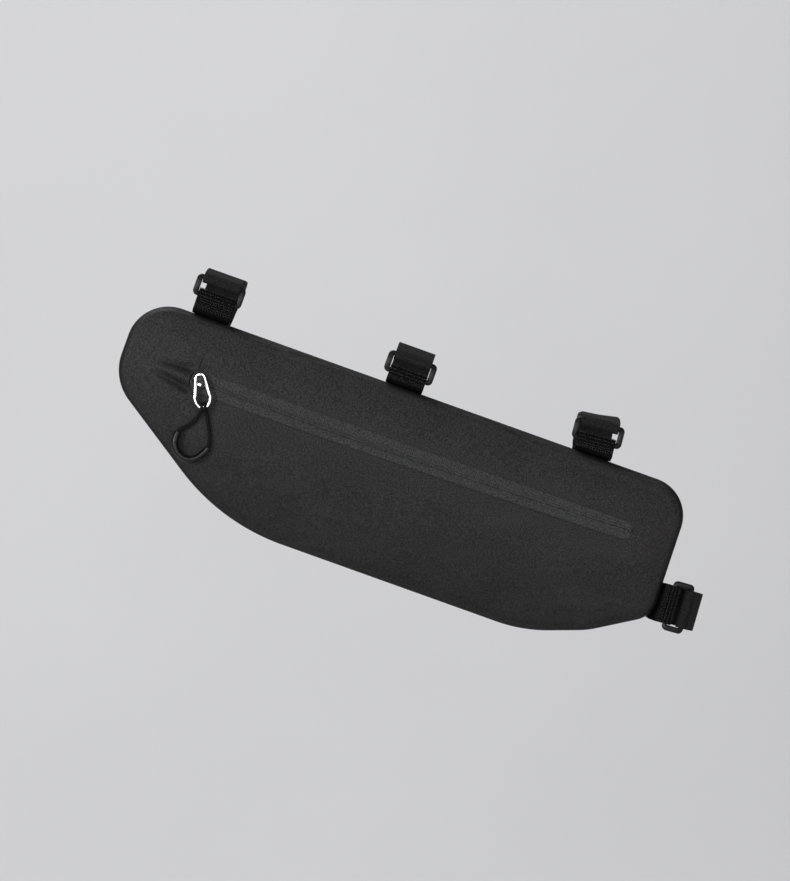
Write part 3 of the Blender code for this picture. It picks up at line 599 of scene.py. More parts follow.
def loft(rows, close_rows, close_ends, loop_rows=False):
    """Points and faces of a loft through rows of equal length."""
    count = len(rows[0])
    points = [point for row in rows for point in row]
    faces = []
    last = len(rows) if loop_rows else len(rows) - 1
    for r in range(last):
        s = (r + 1) % len(rows)
        for c in range(count if close_rows else count - 1):
            d = (c + 1) % count
            faces.append((r * count + c, r * count + d, s * count + d, s * count + c))
    if close_ends:
        faces.append(tuple(reversed(range(count))))
        faces.append(tuple((len(rows) - 1) * count + c for c in range(count)))
    return points, faces


def lofted(name, rows, look, matrix, uvs=None, flat=None, looped=False):
    """A closed piece through rows, with flat ends or coming back to its first row."""
    points, faces = loft(rows, True, not looped, loop_rows=looped)
    return turned_out(new_piece(name, points, faces, look, matrix, uvs, flat=flat))


def rails(line, up, cyclic=False):
    """Unit directions along a line, with a pair square to it that turns as little as it can."""
    count = len(line)
    runs = []
    for i in range(count):
        before = line[i - 1] if cyclic or i else line[0]
        after = line[(i + 1) % count] if cyclic or i < count - 1 else line[-1]
        runs.append((after - before).normalized())
    side = runs[0].cross(up).normalized()
    frames = []
    for run in runs:
        side = (side - run * side.dot(run)).normalized()
        frames.append((run, side, side.cross(run).normalized()))
    return frames


def swept(line, section, up, round_ends):
    """Rings of a section along a line, and each ring's length along it."""
    frames = rails(line, up)
    lengths = [0.0]
    for one, other in zip(line, line[1:]):
        lengths.append(lengths[-1] + (other - one).length)
    rings = []
    for point, (_, side, top) in zip(line, frames):
        rings.append([point + side * a + top * b for a, b in section])
    reach = max(abs(a) for a, _ in section) * 0.6
    for place, onward in ((0, -1), (-1, 1)):
        run, side, top = frames[place]
        for k in range(1, round_ends + 1):
            angle = math.pi / 2 * k / (round_ends + 0.5)
            centre = line[place] + run * onward * (math.sin(angle) * reach)
            ring = [centre + (side * a + top * b) * math.cos(angle) for a, b in section]
            rings.insert(0 if place == 0 else len(rings), ring)
            lengths.insert(0 if place == 0 else len(lengths), lengths[place] + onward * reach * 0.3)
    return rings, lengths


def circle(radius, sides):
    angles = [2 * math.pi * k / sides for k in range(sides)]
    return [(radius * math.cos(a), radius * math.sin(a)) for a in angles]


def squircle(half_width, half_height, sides, power):
    """A rounded rectangle."""
    found = []
    for k in range(sides):
        a = 2 * math.pi * (k + 0.5) / sides
        x, y = math.cos(a), math.sin(a)
        reach = (abs(x) ** power + abs(y) ** power) ** (-1 / power)
        found.append((half_width * x * reach, half_height * y * reach))
    return found


def tube(name, line, section, up, look, matrix, round_ends=0):
    """A swept piece whose UV map gives metres along it and round it."""
    rings, lengths = swept(line, section, up, round_ends)
    count = len(section)
    girth = sum(math.dist(section[k - 1], section[k]) for k in range(count))
    uvs = [(length, girth * abs(2 * c / count - 1)) for length in lengths for c in range(count)]
    return lofted(name, rings, look, matrix, uvs)


def ready(made, nodes):
    """Ties a finished piece to the frame."""
    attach(made, "root")
    if nodes:
        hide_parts(*nodes)
    return made


# Nodes


def plug(value, socket):
    """Joins an output to an input, or sets the input to a value."""
    if isinstance(value, bpy.types.NodeSocket):
        socket.id_data.links.new(value, socket)
    else:
        socket.default_value = value


def node(tree, kind, inputs, **traits):
    """A node with its traits set and its inputs given by name or by number."""
    made = tree.nodes.new(kind)
    for trait, value in traits.items():
        setattr(made, trait, value)
    for label, value in inputs.items():
        plug(value, made.inputs[label])
    return made


def tree_of(values):
    """The node tree of the first socket among some values."""
    return next(value for value in values if isinstance(value, bpy.types.NodeSocket)).id_data


def add_socket(tree, name, direction, kind, default=None, subtype=None):
    made = tree.interface.new_socket(name=name, in_out=direction, socket_type=kind)
    if subtype:
        made.subtype = subtype
    if default is not None:
        made.default_value = default


def number(operation, *values, clamp=False):
    inputs = dict(enumerate(values))
    return node(tree_of(values), "ShaderNodeMath", inputs, operation=operation, use_clamp=clamp).outputs[0]


def times(one, other):
    return number("MULTIPLY", one, other)


def plus(one, other):
    return number("ADD", one, other)


def minus(one, other):
    return number("SUBTRACT", one, other)


# Repeated bits: Geometry Nodes trees that set one small shape along lines


def bits_tree(name, looped):
    """Small bits along lines: rounded stitches, or open loops where looped is set."""
    if name in bpy.data.node_groups:
        return bpy.data.node_groups[name]
    tree = bpy.data.node_groups.new(name, "GeometryNodeTree")
    add_socket(tree, "Lines", "INPUT", "NodeSocketGeometry")
    for label, default in (("Pitch", 0.001), ("Length", 0.001), ("Width", 0.0005), ("Height", 0.0003)):
        add_socket(tree, label, "INPUT", "NodeSocketFloat", default, "DISTANCE")
    add_socket(tree, "Wobble", "INPUT", "NodeSocketFloat", 0.1)
    add_socket(tree, "Seed", "INPUT", "NodeSocketInt", 1)
    add_socket(tree, "Finish", "INPUT", "NodeSocketMaterial")
    add_socket(tree, "Bits", "OUTPUT", "NodeSocketGeometry")
    tree.is_modifier = True
    given, result = tree.nodes.new("NodeGroupInput").outputs, tree.nodes.new("NodeGroupOutput")

    curve = node(tree, "GeometryNodeMeshToCurve", {"Mesh": given["Lines"]})
    inputs = {"Curve": curve.outputs["Curve"], "Length": given["Pitch"]}
    spread = node(tree, "GeometryNodeCurveToPoints", inputs, mode="LENGTH").outputs
    up = node(tree, "GeometryNodeInputNamedAttribute", {"Name": "up"}, data_type="FLOAT_VECTOR")
    lean = node(tree, "GeometryNodeInputNamedAttribute", {"Name": "lean"}, data_type="FLOAT")
    stand = node(tree, "FunctionNodeAlignRotationToVector", {"Vector": up.outputs["Attribute"]}, axis="Z")
    inputs = {"Rotation": stand.outputs["Rotation"], "Vector": spread["Tangent"]}
    follow = node(tree, "FunctionNodeAlignRotationToVector", inputs, axis="X", pivot_axis="Z")

    wobble = node(tree, "FunctionNodeRandomValue", {"Seed": given["Seed"]}, data_type="FLOAT")
    # The inputs for plain numbers begin with the lowest and the highest
    low, high = [socket for socket in wobble.inputs if socket.type == "VALUE"][:2]
    plug(times(given["Wobble"], -1.0), low)
    plug(given["Wobble"], high)
    drawn = next(socket for socket in wobble.outputs if socket.type == "VALUE")
    euler = node(tree, "ShaderNodeCombineXYZ", {"Z": plus(lean.outputs["Attribute"], drawn)})
    turn = node(tree, "FunctionNodeEulerToRotation", {"Euler": euler.outputs["Vector"]})
    inputs = {"Rotation": follow.outputs["Rotation"], "Rotate By": turn.outputs["Rotation"]}
    leant = node(tree, "FunctionNodeRotateRotation", inputs, rotation_space="LOCAL")

    if looped:
        angles = {"Start Angle": math.radians(-14), "Sweep Angle": math.radians(208)}
        arc = node(tree, "GeometryNodeCurveArc", {"Resolution": 7, "Radius": 0.5, **angles})
        rim = node(tree, "GeometryNodeCurvePrimitiveCircle", {"Resolution": 4, "Radius": 0.17})
        inputs = {"Curve": arc.outputs["Curve"], "Profile Curve": rim.outputs["Curve"], "Fill Caps": True}
        bit, tilt = node(tree, "GeometryNodeCurveToMesh", inputs), (math.pi / 2, 0, 0)
    else:
        inputs = {"Segments": 8, "Rings": 5, "Radius": 0.5}
        bit, tilt = node(tree, "GeometryNodeMeshUVSphere", inputs), (0, math.pi / 2, 0)
    stood = node(tree, "GeometryNodeTransform", {"Geometry": bit.outputs["Mesh"], "Rotation": tilt})
    soft = node(tree, "GeometryNodeSetShadeSmooth", {"Geometry": stood.outputs["Geometry"]})

    inputs = {"X": given["Length"], "Y": given["Width"], "Z": given["Height"]}
    size = node(tree, "ShaderNodeCombineXYZ", inputs)
    strewn = node(tree, "GeometryNodeInstanceOnPoints", {
        "Points": spread["Points"], "Instance": soft.outputs["Geometry"],
        "Rotation": leant.outputs["Rotation"], "Scale": size.outputs["Vector"],
    })
    real = node(tree, "GeometryNodeRealizeInstances", {"Geometry": strewn.outputs["Instances"]})
    inputs = {"Geometry": real.outputs["Geometry"], "Material": given["Finish"]}
    dressed = node(tree, "GeometryNodeSetMaterial", inputs)
    plug(dressed.outputs["Geometry"], result.inputs["Bits"])
    return tree


def grown(name, tree, lines, values, look):
    """The bits of a tree along lines, each given as its points, its ups and its lean."""
    points, edges, ups, leans = [], [], [], []
    for line, line_ups, line_lean in lines:
        start = len(points)
        points.extend(tuple(point) for point in line)
        ups.extend(tuple(u) for u in line_ups)
        leans.extend([line_lean] * len(line))
        edges.extend((start + k, start + k + 1) for k in range(len(line) - 1))
    mesh = bpy.data.meshes.new(name)
    mesh.from_pydata(points, edges, [])
    mesh.attributes.new("up", "FLOAT_VECTOR", "POINT").data.foreach_set("vector", np.array(ups).ravel())
    mesh.attributes.new("lean", "FLOAT", "POINT").data.foreach_set("value", np.array(leans))
    made = bpy.data.objects.new(name, mesh)
    bpy.context.scene.collection.objects.link(made)
    bits = made.modifiers.new("bits", "NODES")
    bits.node_group = tree
    values = {**values, "Finish": look}
    for item in tree.interface.items_tree:
        if item.in_out == "INPUT" and item.name in values:
            bits[item.identifier] = values[item.name]
    settled(made)
    if not made.data.polygons:
        raise RuntimeError(f"{name} has no bits")
    return made


# Shader groups


def vector(operation, *values, **named):
    inputs = {**dict(enumerate(values)), **named}
    made = node(tree_of(values), "ShaderNodeVectorMath", inputs, operation=operation)
    return made.outputs["Value" if operation in ("DOT_PRODUCT", "LENGTH") else "Vector"]


def ranged(value, low, high, to_low=0.0, to_high=1.0, soft=False):
    """A value moved from one range to another and kept within it."""
    inputs = dict(enumerate((value, low, high, to_low, to_high)))
    kind = "SMOOTHSTEP" if soft else "LINEAR"
    return node(value.id_data, "ShaderNodeMapRange", inputs, interpolation_type=kind).outputs["Result"]


def speckle(position, scale, detail, roughness):
    inputs = {"Vector": position, "Scale": scale, "Detail": detail, "Roughness": roughness}
    return node(position.id_data, "ShaderNodeTexNoise", inputs).outputs["Fac"]


def parted(place):
    """The X, Y and Z of a place."""
    return node(place.id_data, "ShaderNodeSeparateXYZ", {0: place}).outputs


def mixed(share, one, other):
    """A colour between two."""
    made = node(share.id_data, "ShaderNodeMix", {"Factor": share}, data_type="RGBA")
    for value, socket in zip((one, other), [s for s in made.inputs if s.type == "RGBA"]):
        plug(value if isinstance(value, bpy.types.NodeSocket) else (*value[:3], 1.0), socket)
    return next(s for s in made.outputs if s.type == "RGBA")


def toned(share, color, low, high):
    """A colour that goes from one multiple of itself to another."""
    return mixed(share, *[[min(part * level, 1.0) for part in color] for level in (low, high)])


def group_tree(name, inputs, outputs):
    """A new shader node group with its named sockets. An input without a default is a vector."""
    tree = bpy.data.node_groups.new(name, "ShaderNodeTree")
    for label, default in inputs.items():
        kind = "NodeSocketVector" if default is None else "NodeSocketFloat"
        add_socket(tree, label, "INPUT", kind, default)
    for label in outputs:
        add_socket(tree, label, "OUTPUT", "NodeSocketFloat")
    return tree, tree.nodes.new("NodeGroupInput").outputs, tree.nodes.new("NodeGroupOutput").inputs


def placed(name, build, **values):
    """A shader group, built where it is missing, with its inputs given by name."""
    group = bpy.data.node_groups.get(name) or build(name)
    made = tree_of(values.values()).nodes.new("ShaderNodeGroup")
    made.node_tree = group
    for label, value in values.items():
        plug(value, made.inputs[label])
    return made.outputs


def fine_grain(name):
    """Grain of a coating or a moulding: uneven specks and, between them, small pits."""
    inputs = {"Position": None, "Size": 0.001, "Patch": 0.03}
    tree, given, result = group_tree(name, inputs, ("Specks", "Patches", "Height"))
    scale = number("DIVIDE", 1.0, given["Size"])
    specks = ranged(speckle(given["Position"], scale, 3.0, 0.75), 0.36, 0.66, soft=True)
    broad = speckle(given["Position"], number("DIVIDE", 1.0, given["Patch"]), 3.0, 0.55)
    cells = node(tree, "ShaderNodeTexVoronoi", {"Vector": given["Position"], "Scale": times(scale, 1.3)})
    pits = ranged(cells.outputs["Distance"], 0.05, 0.55, soft=True)
    plug(specks, result["Specks"])
    plug(ranged(broad, 0.3, 0.7, soft=True), result["Patches"])
    plug(plus(times(pits, -0.5), times(specks, 0.6)), result["Height"])
    return tree


def crease_line(name):
    """A crease from one point to another, deepest at its middle."""
    inputs = {"Position": None, "Start": None, "End": None, "Width": 0.001}
    tree, given, result = group_tree(name, inputs, ("Depth",))
    run = vector("SUBTRACT", given["End"], given["Start"])
    away = vector("SUBTRACT", given["Position"], given["Start"])
    share = number("DIVIDE", vector("DOT_PRODUCT", away, run), vector("DOT_PRODUCT", run, run), clamp=True)
    offset = vector("SUBTRACT", away, vector("SCALE", run, Scale=share))
    near = ranged(vector("LENGTH", offset), 0.0, given["Width"], 1.0, 0.0, soft=True)
    middle = number("ABSOLUTE", minus(times(share, 2.0), 1.0))
    plug(times(near, minus(1.0, number("POWER", middle, 4.0))), result["Depth"])
    return tree


def weave(name):
    """Threads over and under each other, or ribs where Cross is nil, on a UV map in metres."""
    inputs = {"Cloth": None, "Along": 0.001, "Across": 0.001, "Cross": 0.5}
    tree, given, result = group_tree(name, inputs, ("Height", "Threads"))
    apart = parted(given["Cloth"])
    u = number("DIVIDE", apart["X"], given["Along"])
    v = number("DIVIDE", apart["Y"], given["Across"])
    rib = number("ABSOLUTE", number("SINE", times(v, math.pi)))
    shifted = plus(times(u, math.pi), times(number("FLOOR", v), math.pi / 2))
    both = times(rib, number("ABSOLUTE", number("SINE", shifted)))
    height = plus(rib, times(given["Cross"], minus(both, rib)))
    fuzz = node(tree, "ShaderNodeCombineXYZ", {"X": times(u, 0.6), "Y": times(v, 1.7)})
    threads = speckle(fuzz.outputs[0], 1.6, 3.0, 0.7)
    plug(height, result["Height"])
    plug(times(height, ranged(threads, 0.3, 0.7, 0.45, 1.0)), result["Threads"])
    return tree


def braid(name):
    """Crossing strands of a braided cord, on a UV map in metres."""
    tree, given, result = group_tree(name, {"Cloth": None, "Pitch": 0.001, "Girth": 0.001}, ("Height",))
    apart = parted(given["Cloth"])
    u = number("DIVIDE", apart["X"], given["Pitch"])
    v = number("DIVIDE", apart["Y"], given["Girth"])
    strands = [number("SINE", times(crossed, 2 * math.pi)) for crossed in (plus(u, v), minus(u, v))]
    plug(ranged(number("MAXIMUM", *strands), -0.6, 1.0, soft=True), result["Height"])
    return tree


def handling(name):
    """Faint wear: rubbed streaks and settled dust."""
    tree, given, result = group_tree(name, {"Position": None, "Size": 0.01}, ("Rubbed", "Dust"))
    scale = number("DIVIDE", 1.0, given["Size"])
    stretched = node(tree, "ShaderNodeMapping", {"Scale": (0.35, 1.0, 1.6), "Vector": given["Position"]})
    rubbed = speckle(stretched.outputs["Vector"], scale, 5.0, 0.65)
    dust = speckle(given["Position"], times(scale, 7.0), 4.0, 0.8)
    plug(ranged(rubbed, 0.50, 0.78, soft=True), result["Rubbed"])
    plug(ranged(dust, 0.62, 0.80, soft=True), result["Dust"])
    return tree


# Finishes


class Look:
    """A new material with its shader's inputs, its Object coordinates and its cloth map."""

    def __init__(self, name, specular=0.5, metallic=0.0):
        self.material = bpy.data.materials.new(name)
        self.material.use_nodes = True
        self.tree = self.material.node_tree
        self.shader = self.tree.nodes["Principled BSDF"].inputs
        self.shader["Specular IOR Level"].default_value = specular
        self.shader["Metallic"].default_value = metallic
        self.place = self.tree.nodes.new("ShaderNodeTexCoord").outputs["Object"]
        self.cloth = node(self.tree, "ShaderNodeUVMap", {}, uv_map="cloth").outputs["UV"]

    def grain(self, size, patch):
        return placed("Fine Grain", fine_grain, Position=self.place, Size=size, Patch=patch)

    def wear(self, size):
        return placed("Handling", handling, Position=self.place, Size=size)

    def done(self, color, rough, height=None):
        """The material with its colour, its roughness and its bumps in millimetres."""
        plug(color, self.shader["Base Color"])
        plug(rough, self.shader["Roughness"])
        if height is not None:
            bump = node(self.tree, "ShaderNodeBump", {"Strength": 1.0, "Distance": 0.001, "Height": height})
            plug(bump.outputs["Normal"], self.shader["Normal"])
        return self.material


def kept(name, build):
    """A material that is built once."""
    return bpy.data.materials.get(name) or build(name)


def creased(place, height):
    """The painted shade of the creases and hollows in the near panel, and a height with them pressed into it.
    """
    bag = bpy.context.scene.bag
    apart = parted(place)
    # The panel's face varies in depth, so a crease is measured on a flattened place
    inputs = {"X": apart["X"], "Y": -bag.depth / 2, "Z": apart["Z"]}
    flat = node(place.id_data, "ShaderNodeCombineXYZ", inputs)
    near = ranged(apart["Y"], -0.012, -0.020)
    painted_crease_shade = None
    for along_a, down_a, along_b, down_b, width, depth in CREASES:
        ends = []
        for along, down in ((along_a, down_a), (along_b, down_b)):
            point = at(along, down)
            ends.append(tuple(hang() @ Vector((point.x, -bag.depth / 2, point.y))))
        line = placed(
            "Crease", crease_line, Position=flat.outputs[0], Start=ends[0], End=ends[1], Width=width,
        )
        crease = times(line["Depth"], near)
        height = minus(height, times(crease, 0.45 * depth))
        crease = times(crease, depth)
        painted_crease_shade = crease if painted_crease_shade is None else number("MAXIMUM", painted_crease_shade, crease)
    return painted_crease_shade, height


def coated_fabric(name):
    bag = bpy.context.scene.bag
    look = Look(name, specular=0.22)
    grain, worn = look.grain(bag.grain, 0.035), look.wear(0.018)
    apart = parted(look.place)
    inset = node(look.tree, "ShaderNodeAttribute", {}, attribute_name="inset").outputs["Fac"]
    # The colour goes from the front colour to the darker rear one: painted shade towards the rear
    color = mixed(ranged(apart["X"], -0.16, 0.17, soft=True), bag.front_color, bag.rear_shaded_color)
    # Painted shade: the colour darkens towards the bottom, and the near side's welded rim is painted darker,
    # as if turned away into shadow
    level = plus(times(apart["Z"], math.cos(bag.slope)), times(apart["X"], math.sin(bag.slope)))
    painted_light = ranged(level, bag_top() - bag.height, bag_top() - 0.25 * bag.height, 0.62, 1.06, soft=True)
    shadow = times(ranged(inset, 0.0009, 0.0026, 0.55, 0.0, soft=True), ranged(apart["Y"], -0.016, -0.022))
    tone = plus(plus(times(grain["Specks"], 1.10), times(grain["Patches"], 0.18)), 0.36)
    color = vector("SCALE", color, Scale=times(tone, times(painted_light, minus(1.0, shadow))))
    rubbed = [min(part * 1.9, 1.0) for part in bag.front_color]
    color = mixed(times(worn["Rubbed"], 0.22), color, rubbed)
    color = mixed(times(worn["Dust"], 0.10), color, (0.16, 0.155, 0.15))
    # Painted highlight: a thin line along the weld is painted lighter; it is also smoother and raised in the
    # bump
    weld = ranged(number("ABSOLUTE", minus(inset, 0.0028)), 0.0003, 0.0011, 1.0, 0.0, soft=True)
    color = mixed(times(weld, 0.12), color, bag.weld_highlight_color)
    painted_crease_shade, height = creased(look.place, plus(times(grain["Height"], 0.075), times(weld, 0.10)))
    # Painted shade: the creases and hollows darken the colour
    color = mixed(times(painted_crease_shade, 0.75), color, (0.004, 0.004, 0.004))
    rough = minus(ranged(grain["Specks"], 0.0, 1.0, 0.66, 0.50), times(weld, 0.05))
    return look.done(color, rough, height)


def laminated_tape(name):
    look = Look(name, specular=0.22)
    grain = look.grain(0.0011, 0.02)
    # Fine slanting hatching of the knit under the laminate
    inputs = {"Rotation": (0, 0, math.radians(52)), "Vector": look.cloth}
    slanted = node(look.tree, "ShaderNodeMapping", inputs)
    ribs = placed("Weave", weave, Cloth=slanted.outputs["Vector"], Along=0.0034, Across=0.0013, Cross=0.8)
    tone = plus(times(grain["Specks"], 0.62), times(ribs["Height"], 0.38))
    height = plus(times(grain["Height"], 0.03), times(ribs["Height"], 0.06))
    color = toned(tone, bpy.context.scene.zip.tape_color, 0.34, 1.90)
    return look.done(color, ranged(grain["Specks"], 0.0, 1.0, 0.60, 0.48), height)


def coil_thread(name):
    look = Look(name, specular=0.3)
    grain = look.grain(0.0016, 0.03)
    # Painted light: the threads are painted brighter towards the rear of the zip
    painted_light = ranged(parted(look.place)["X"], -0.04, 0.12, 0.40, 1.0, soft=True)
    color = toned(times(painted_light, grain["Specks"]), bpy.context.scene.zip.tape_color, 0.8, 3.6)
    return look.done(color, ranged(grain["Specks"], 0.0, 1.0, 0.70, 0.50))


def bright_metal(name):
    look = Look(name, metallic=1.0)
    grain, worn = look.grain(0.0006, 0.004), look.wear(0.003)
    color = toned(grain["Patches"], bpy.context.scene.zip.metal_color, 0.80, 1.15)
    color = mixed(times(worn["Rubbed"], 0.3), color, (0.30, 0.29, 0.28))
    return look.done(color, ranged(worn["Rubbed"], 0.0, 1.0, 0.20, 0.32), times(grain["Height"], 0.003))


# A metal of near-black colour, used for the slider's body
def dark_metal(name):
    look = Look(name, metallic=1.0)
    grain = look.grain(0.0008, 0.003)
    color = mixed(grain["Patches"], (0.012, 0.012, 0.012), (0.055, 0.050, 0.046))
    return look.done(color, ranged(grain["Specks"], 0.0, 1.0, 0.34, 0.50), times(grain["Height"], 0.01))


def braided_cord(name):
    cord = bpy.context.scene.cord
    look = Look(name, specular=0.2)
    girth = cord.diameter * math.pi / 6
    strands = placed("Braid", braid, Cloth=look.cloth, Pitch=0.0022, Girth=girth)["Height"]
    grain = look.grain(0.0003, 0.005)
    tone = times(strands, ranged(grain["Specks"], 0.0, 1.0, 0.6, 1.0))
    height = plus(times(strands, 0.16), times(grain["Height"], 0.02))
    return look.done(toned(tone, cord.cord_color, 0.35, 2.3), ranged(strands, 0.0, 1.0, 0.85, 0.62), height)


def black_rubber(name):
    look = Look(name, specular=0.35)
    grain, worn = look.grain(0.0005, 0.006), look.wear(0.004)
    color = toned(grain["Patches"], bpy.context.scene.cord.rubber_color, 0.75, 1.35)
    color = mixed(times(worn["Dust"], 0.25), color, (0.09, 0.09, 0.09))
    return look.done(color, ranged(worn["Rubbed"], 0.0, 1.0, 0.28, 0.40), times(grain["Height"], 0.03))


def moulded_plastic(name):
    look = Look(name, specular=0.3)
    grain, worn = look.grain(0.0005, 0.008), look.wear(0.004)
    color = toned(grain["Patches"], bpy.context.scene.strap.plastic_color, 0.75, 1.3)
    color = mixed(times(worn["Rubbed"], 0.10), color, (0.085, 0.085, 0.087))
    return look.done(color, ranged(worn["Rubbed"], 0.0, 1.0, 0.34, 0.48), times(grain["Height"], 0.02))


def fibre(look, color, grain_size, patch, tones, roughness, bump=None):
    """Threads or pile, whose specks are lighter and smoother than the ground between them."""
    grain = look.grain(grain_size, patch)
    height = times(grain["Height"], bump) if bump else None
    rough = ranged(grain["Specks"], 0.0, 1.0, *roughness)
    return look.done(toned(grain["Specks"], color, *tones), rough, height)


def loop_pile(name):
    color = bpy.context.scene.strap.pile_color
    return fibre(Look(name, specular=0.08), color, 0.0006, 0.006, (0.35, 2.6), (0.92, 0.62), 0.12)


def loop_thread(name):
    color = bpy.context.scene.strap.loop_color
    return fibre(Look(name, specular=0.3), color, 0.0011, 0.006, (0.10, 1.5), (0.80, 0.45))


def sewing_thread(name):
    color = bpy.context.scene.strap.thread_color
    return fibre(Look(name, specular=0.12), color, 0.00025, 0.004, (0.5, 2.2), (0.80, 0.60), 0.03)


def woven_strap(name):
    strap = bpy.context.scene.strap
    look = Look(name, specular=0.12)
    ribs = placed("Weave", weave, Cloth=look.cloth, Along=0.0011, Across=strap.rib / 2, Cross=0.55)
    grain = look.grain(0.0012, 0.012)
    tone = plus(times(ribs["Threads"], 0.55), times(grain["Specks"], 0.40))
    height = plus(times(ribs["Height"], 0.12), times(grain["Height"], 0.06))
    rough = ranged(ribs["Height"], 0.0, 1.0, 0.88, 0.66)
    return look.done(toned(tone, strap.wrap_color, 0.15, 3.2), rough, height)


def pale_paper(name):
    look = Look(name)
    grain = look.grain(0.004, 0.6)
    color = toned(grain["Patches"], bpy.context.scene.stage.floor_color, 0.985, 1.015)
    return look.done(color, ranged(grain["Patches"], 0.0, 1.0, 0.90, 0.94))


# The pieces


def shell_rings():
    """Rings of the shell from inside the zip's slot, over the rim and gusset, to the back."""
    bag = bpy.context.scene.bag
    front_edge, back_edge = bag.depth / 2 - bag.front_crown, bag.depth / 2 - bag.back_crown
    corners = [at(along, down) for along, down, _ in OUTLINE_CORNERS]
    radii = [radius * bag.height for _, _, radius in OUTLINE_CORNERS]
    outline = np.array([tuple(p) for p in rounded(corners, radii, 3.0, 0.0024, cyclic=True)])
    run = np.roll(outline, -1, axis=0) - np.roll(outline, 1, axis=0)
    run /= np.linalg.norm(run, axis=1, keepdims=True)
    inward = np.stack([run[:, 1], -run[:, 0]], axis=1)
    feet = outline + inward * bag.rim
    edge = spine_edge(SLOT_STATIONS, feet)
    span = np.linalg.norm(edge - feet, axis=1)
    towards = (edge - feet) / span[:, None]
    edge_out = bag.depth / 2 + relief(edge)
    rings, insets = [], []

    def ring(flat, across, inset):
        across = np.broadcast_to(across, len(flat))
        rings.append(np.stack([flat[:, 0], across, flat[:, 1]], axis=1))
        insets.append(np.broadcast_to(inset, len(flat)))

    def rim(steps, side, edge_across):
        for k in steps:
            angle = math.pi / 2 * k / RIM_STEPS
            inset = bag.rim * (1 - math.cos(angle))
            ring(outline + inward * inset, side * (edge_across - bag.rim * (1 - math.sin(angle))), inset)

    # The slot's lip: straight in through the wall, then rounded over
    for back, deep in ((0.0, 0.0024), (0.0, 0.0011), (0.0, 0.0002), (0.00003, 0.00004), (0.00010, 0.0)):
        ring(edge - towards * back, -(edge_out - deep), bag.rim + span)
    for share in np.linspace(1.0, 0.0, FRONT_RINGS + 1)[1:]:
        flat = feet + (edge - feet) * share
        level = smooth((0.0032 - span * (1 - share)) / 0.0022)
        rise = blend(relief(flat), relief(edge), level)
        soft = smooth((1 - share) / 0.2) * smooth(share / 0.1)
        rise = rise + waves(flat, 1.0) * soft
        ring(flat, -(front_edge + bag.front_crown * (1 - (1 - share) ** 2) + rise), bag.rim + span * share)
    rim(reversed(range(RIM_STEPS)), -1, front_edge)
    near, far = bag.rim - front_edge, back_edge - bag.rim
    corner = OUTLINE_CORNERS[1][2] * bag.height
    rear = smooth(1 - (at(1.0, 0.0).x - outline[:, 0]) / (0.35 * corner))
    for k in range(1, GUSSET_RINGS):
        across = blend(near, far, k / GUSSET_RINGS)
        puff = waves(outline * 1.3, across) * 0.8 * math.sin(math.pi * k / GUSSET_RINGS)
        moved = outline + inward * puff[:, None]
        moved[:, 0] += dented(across) * rear
        ring(moved, across, -0.01)
    rim(range(RIM_STEPS + 1), 1, back_edge)
    middle = spine_edge(BACK_STATIONS, feet)
    for share in np.linspace(0.0, 1.0, BACK_RINGS + 1)[1:]:
        flat = feet + (middle - feet) * share
        soft = smooth((1 - share) / 0.3) * smooth(share / 0.1)
        across = back_edge + bag.back_crown * (1 - (1 - share) ** 2) + waves(flat, 2.0) * soft * 1.4
        ring(flat, across, bag.rim + np.linalg.norm(middle - feet, axis=1) * share)
    return rings, insets


def build_shell():
    bag = bpy.context.scene.bag
    rings, insets = shell_rings()
    points, faces = loft(rings, True, False)
    count = len(rings[0])
    faces.append(tuple((len(rings) - 1) * count + c for c in range(count)))
    values = {"inset": np.concatenate(insets)}
    made = new_piece("frame_bag_shell", points, faces, kept("coated fabric", coated_fabric), hang(),
                     values=values)
    front = [face for face in made.data.polygons if face.center.y < -bag.depth / 2 + 0.0015]
    if sum(face.normal.y * face.area for face in front) > 0:
        made.data.flip_normals()
    wall = made.modifiers.new("wall", "SOLIDIFY")
    wall.thickness = bag.wall
    wall.offset = -1
    settled(made)
    return ready(made, ["bag_shell"])


def slot_at(x):
    """The slot's lower and upper edge and its slit at a place along it."""
    bag = bpy.context.scene.bag
    first, last = at(*SLOT_STATIONS[0][:2]), at(*SLOT_STATIONS[2][:2])
    share = min(max((x - first.x) / (last.x - first.x), 0.0), 1.0)
    along, down, half_width, slit = station(SLOT_STATIONS, share)
    centre = at(along, down)
    half = half_width * bag.height - TAPE_ROOM
    past = max(first.x - x, x - last.x, 0.0)
    reach = math.sqrt(max(half * half - past * past, 0.0))
    middle = centre.y + (-slit) * half * min(1.0, reach / half)
    return centre.y - reach, centre.y + reach, middle


def tape_profile(width, height, thickness):
    """A tape's section from its lip to its edge: (from_lip, out), round and back."""
    zipper = bpy.context.scene.zip
    lip = min(zipper.lip_width, width * 0.45)
    rise = 0.6 * height * min(1.0, width / (3 * thickness))
    face = [(0.0, 0.55), (0.02, 0.80), (0.08, 0.94), (0.30, 1.0), (0.55, 0.97), (0.75, 0.85), (0.90, 0.60)]
    section = [(share * lip, up * rise) for share, up in face]
    section += [(lip * 1.05, rise * 0.35), (lip * 1.30, rise * 0.12), (lip * 1.7, 0.0)]
    rest = width - lip * 1.7
    section += [(lip * 1.7 + rest * share, 0.0) for share in (0.12, 0.3, 0.5, 0.7, 0.88)]
    section += [(width - 0.00004, -0.00002), (width, -0.0002), (width, -thickness), (0.0, -thickness)]
    return section


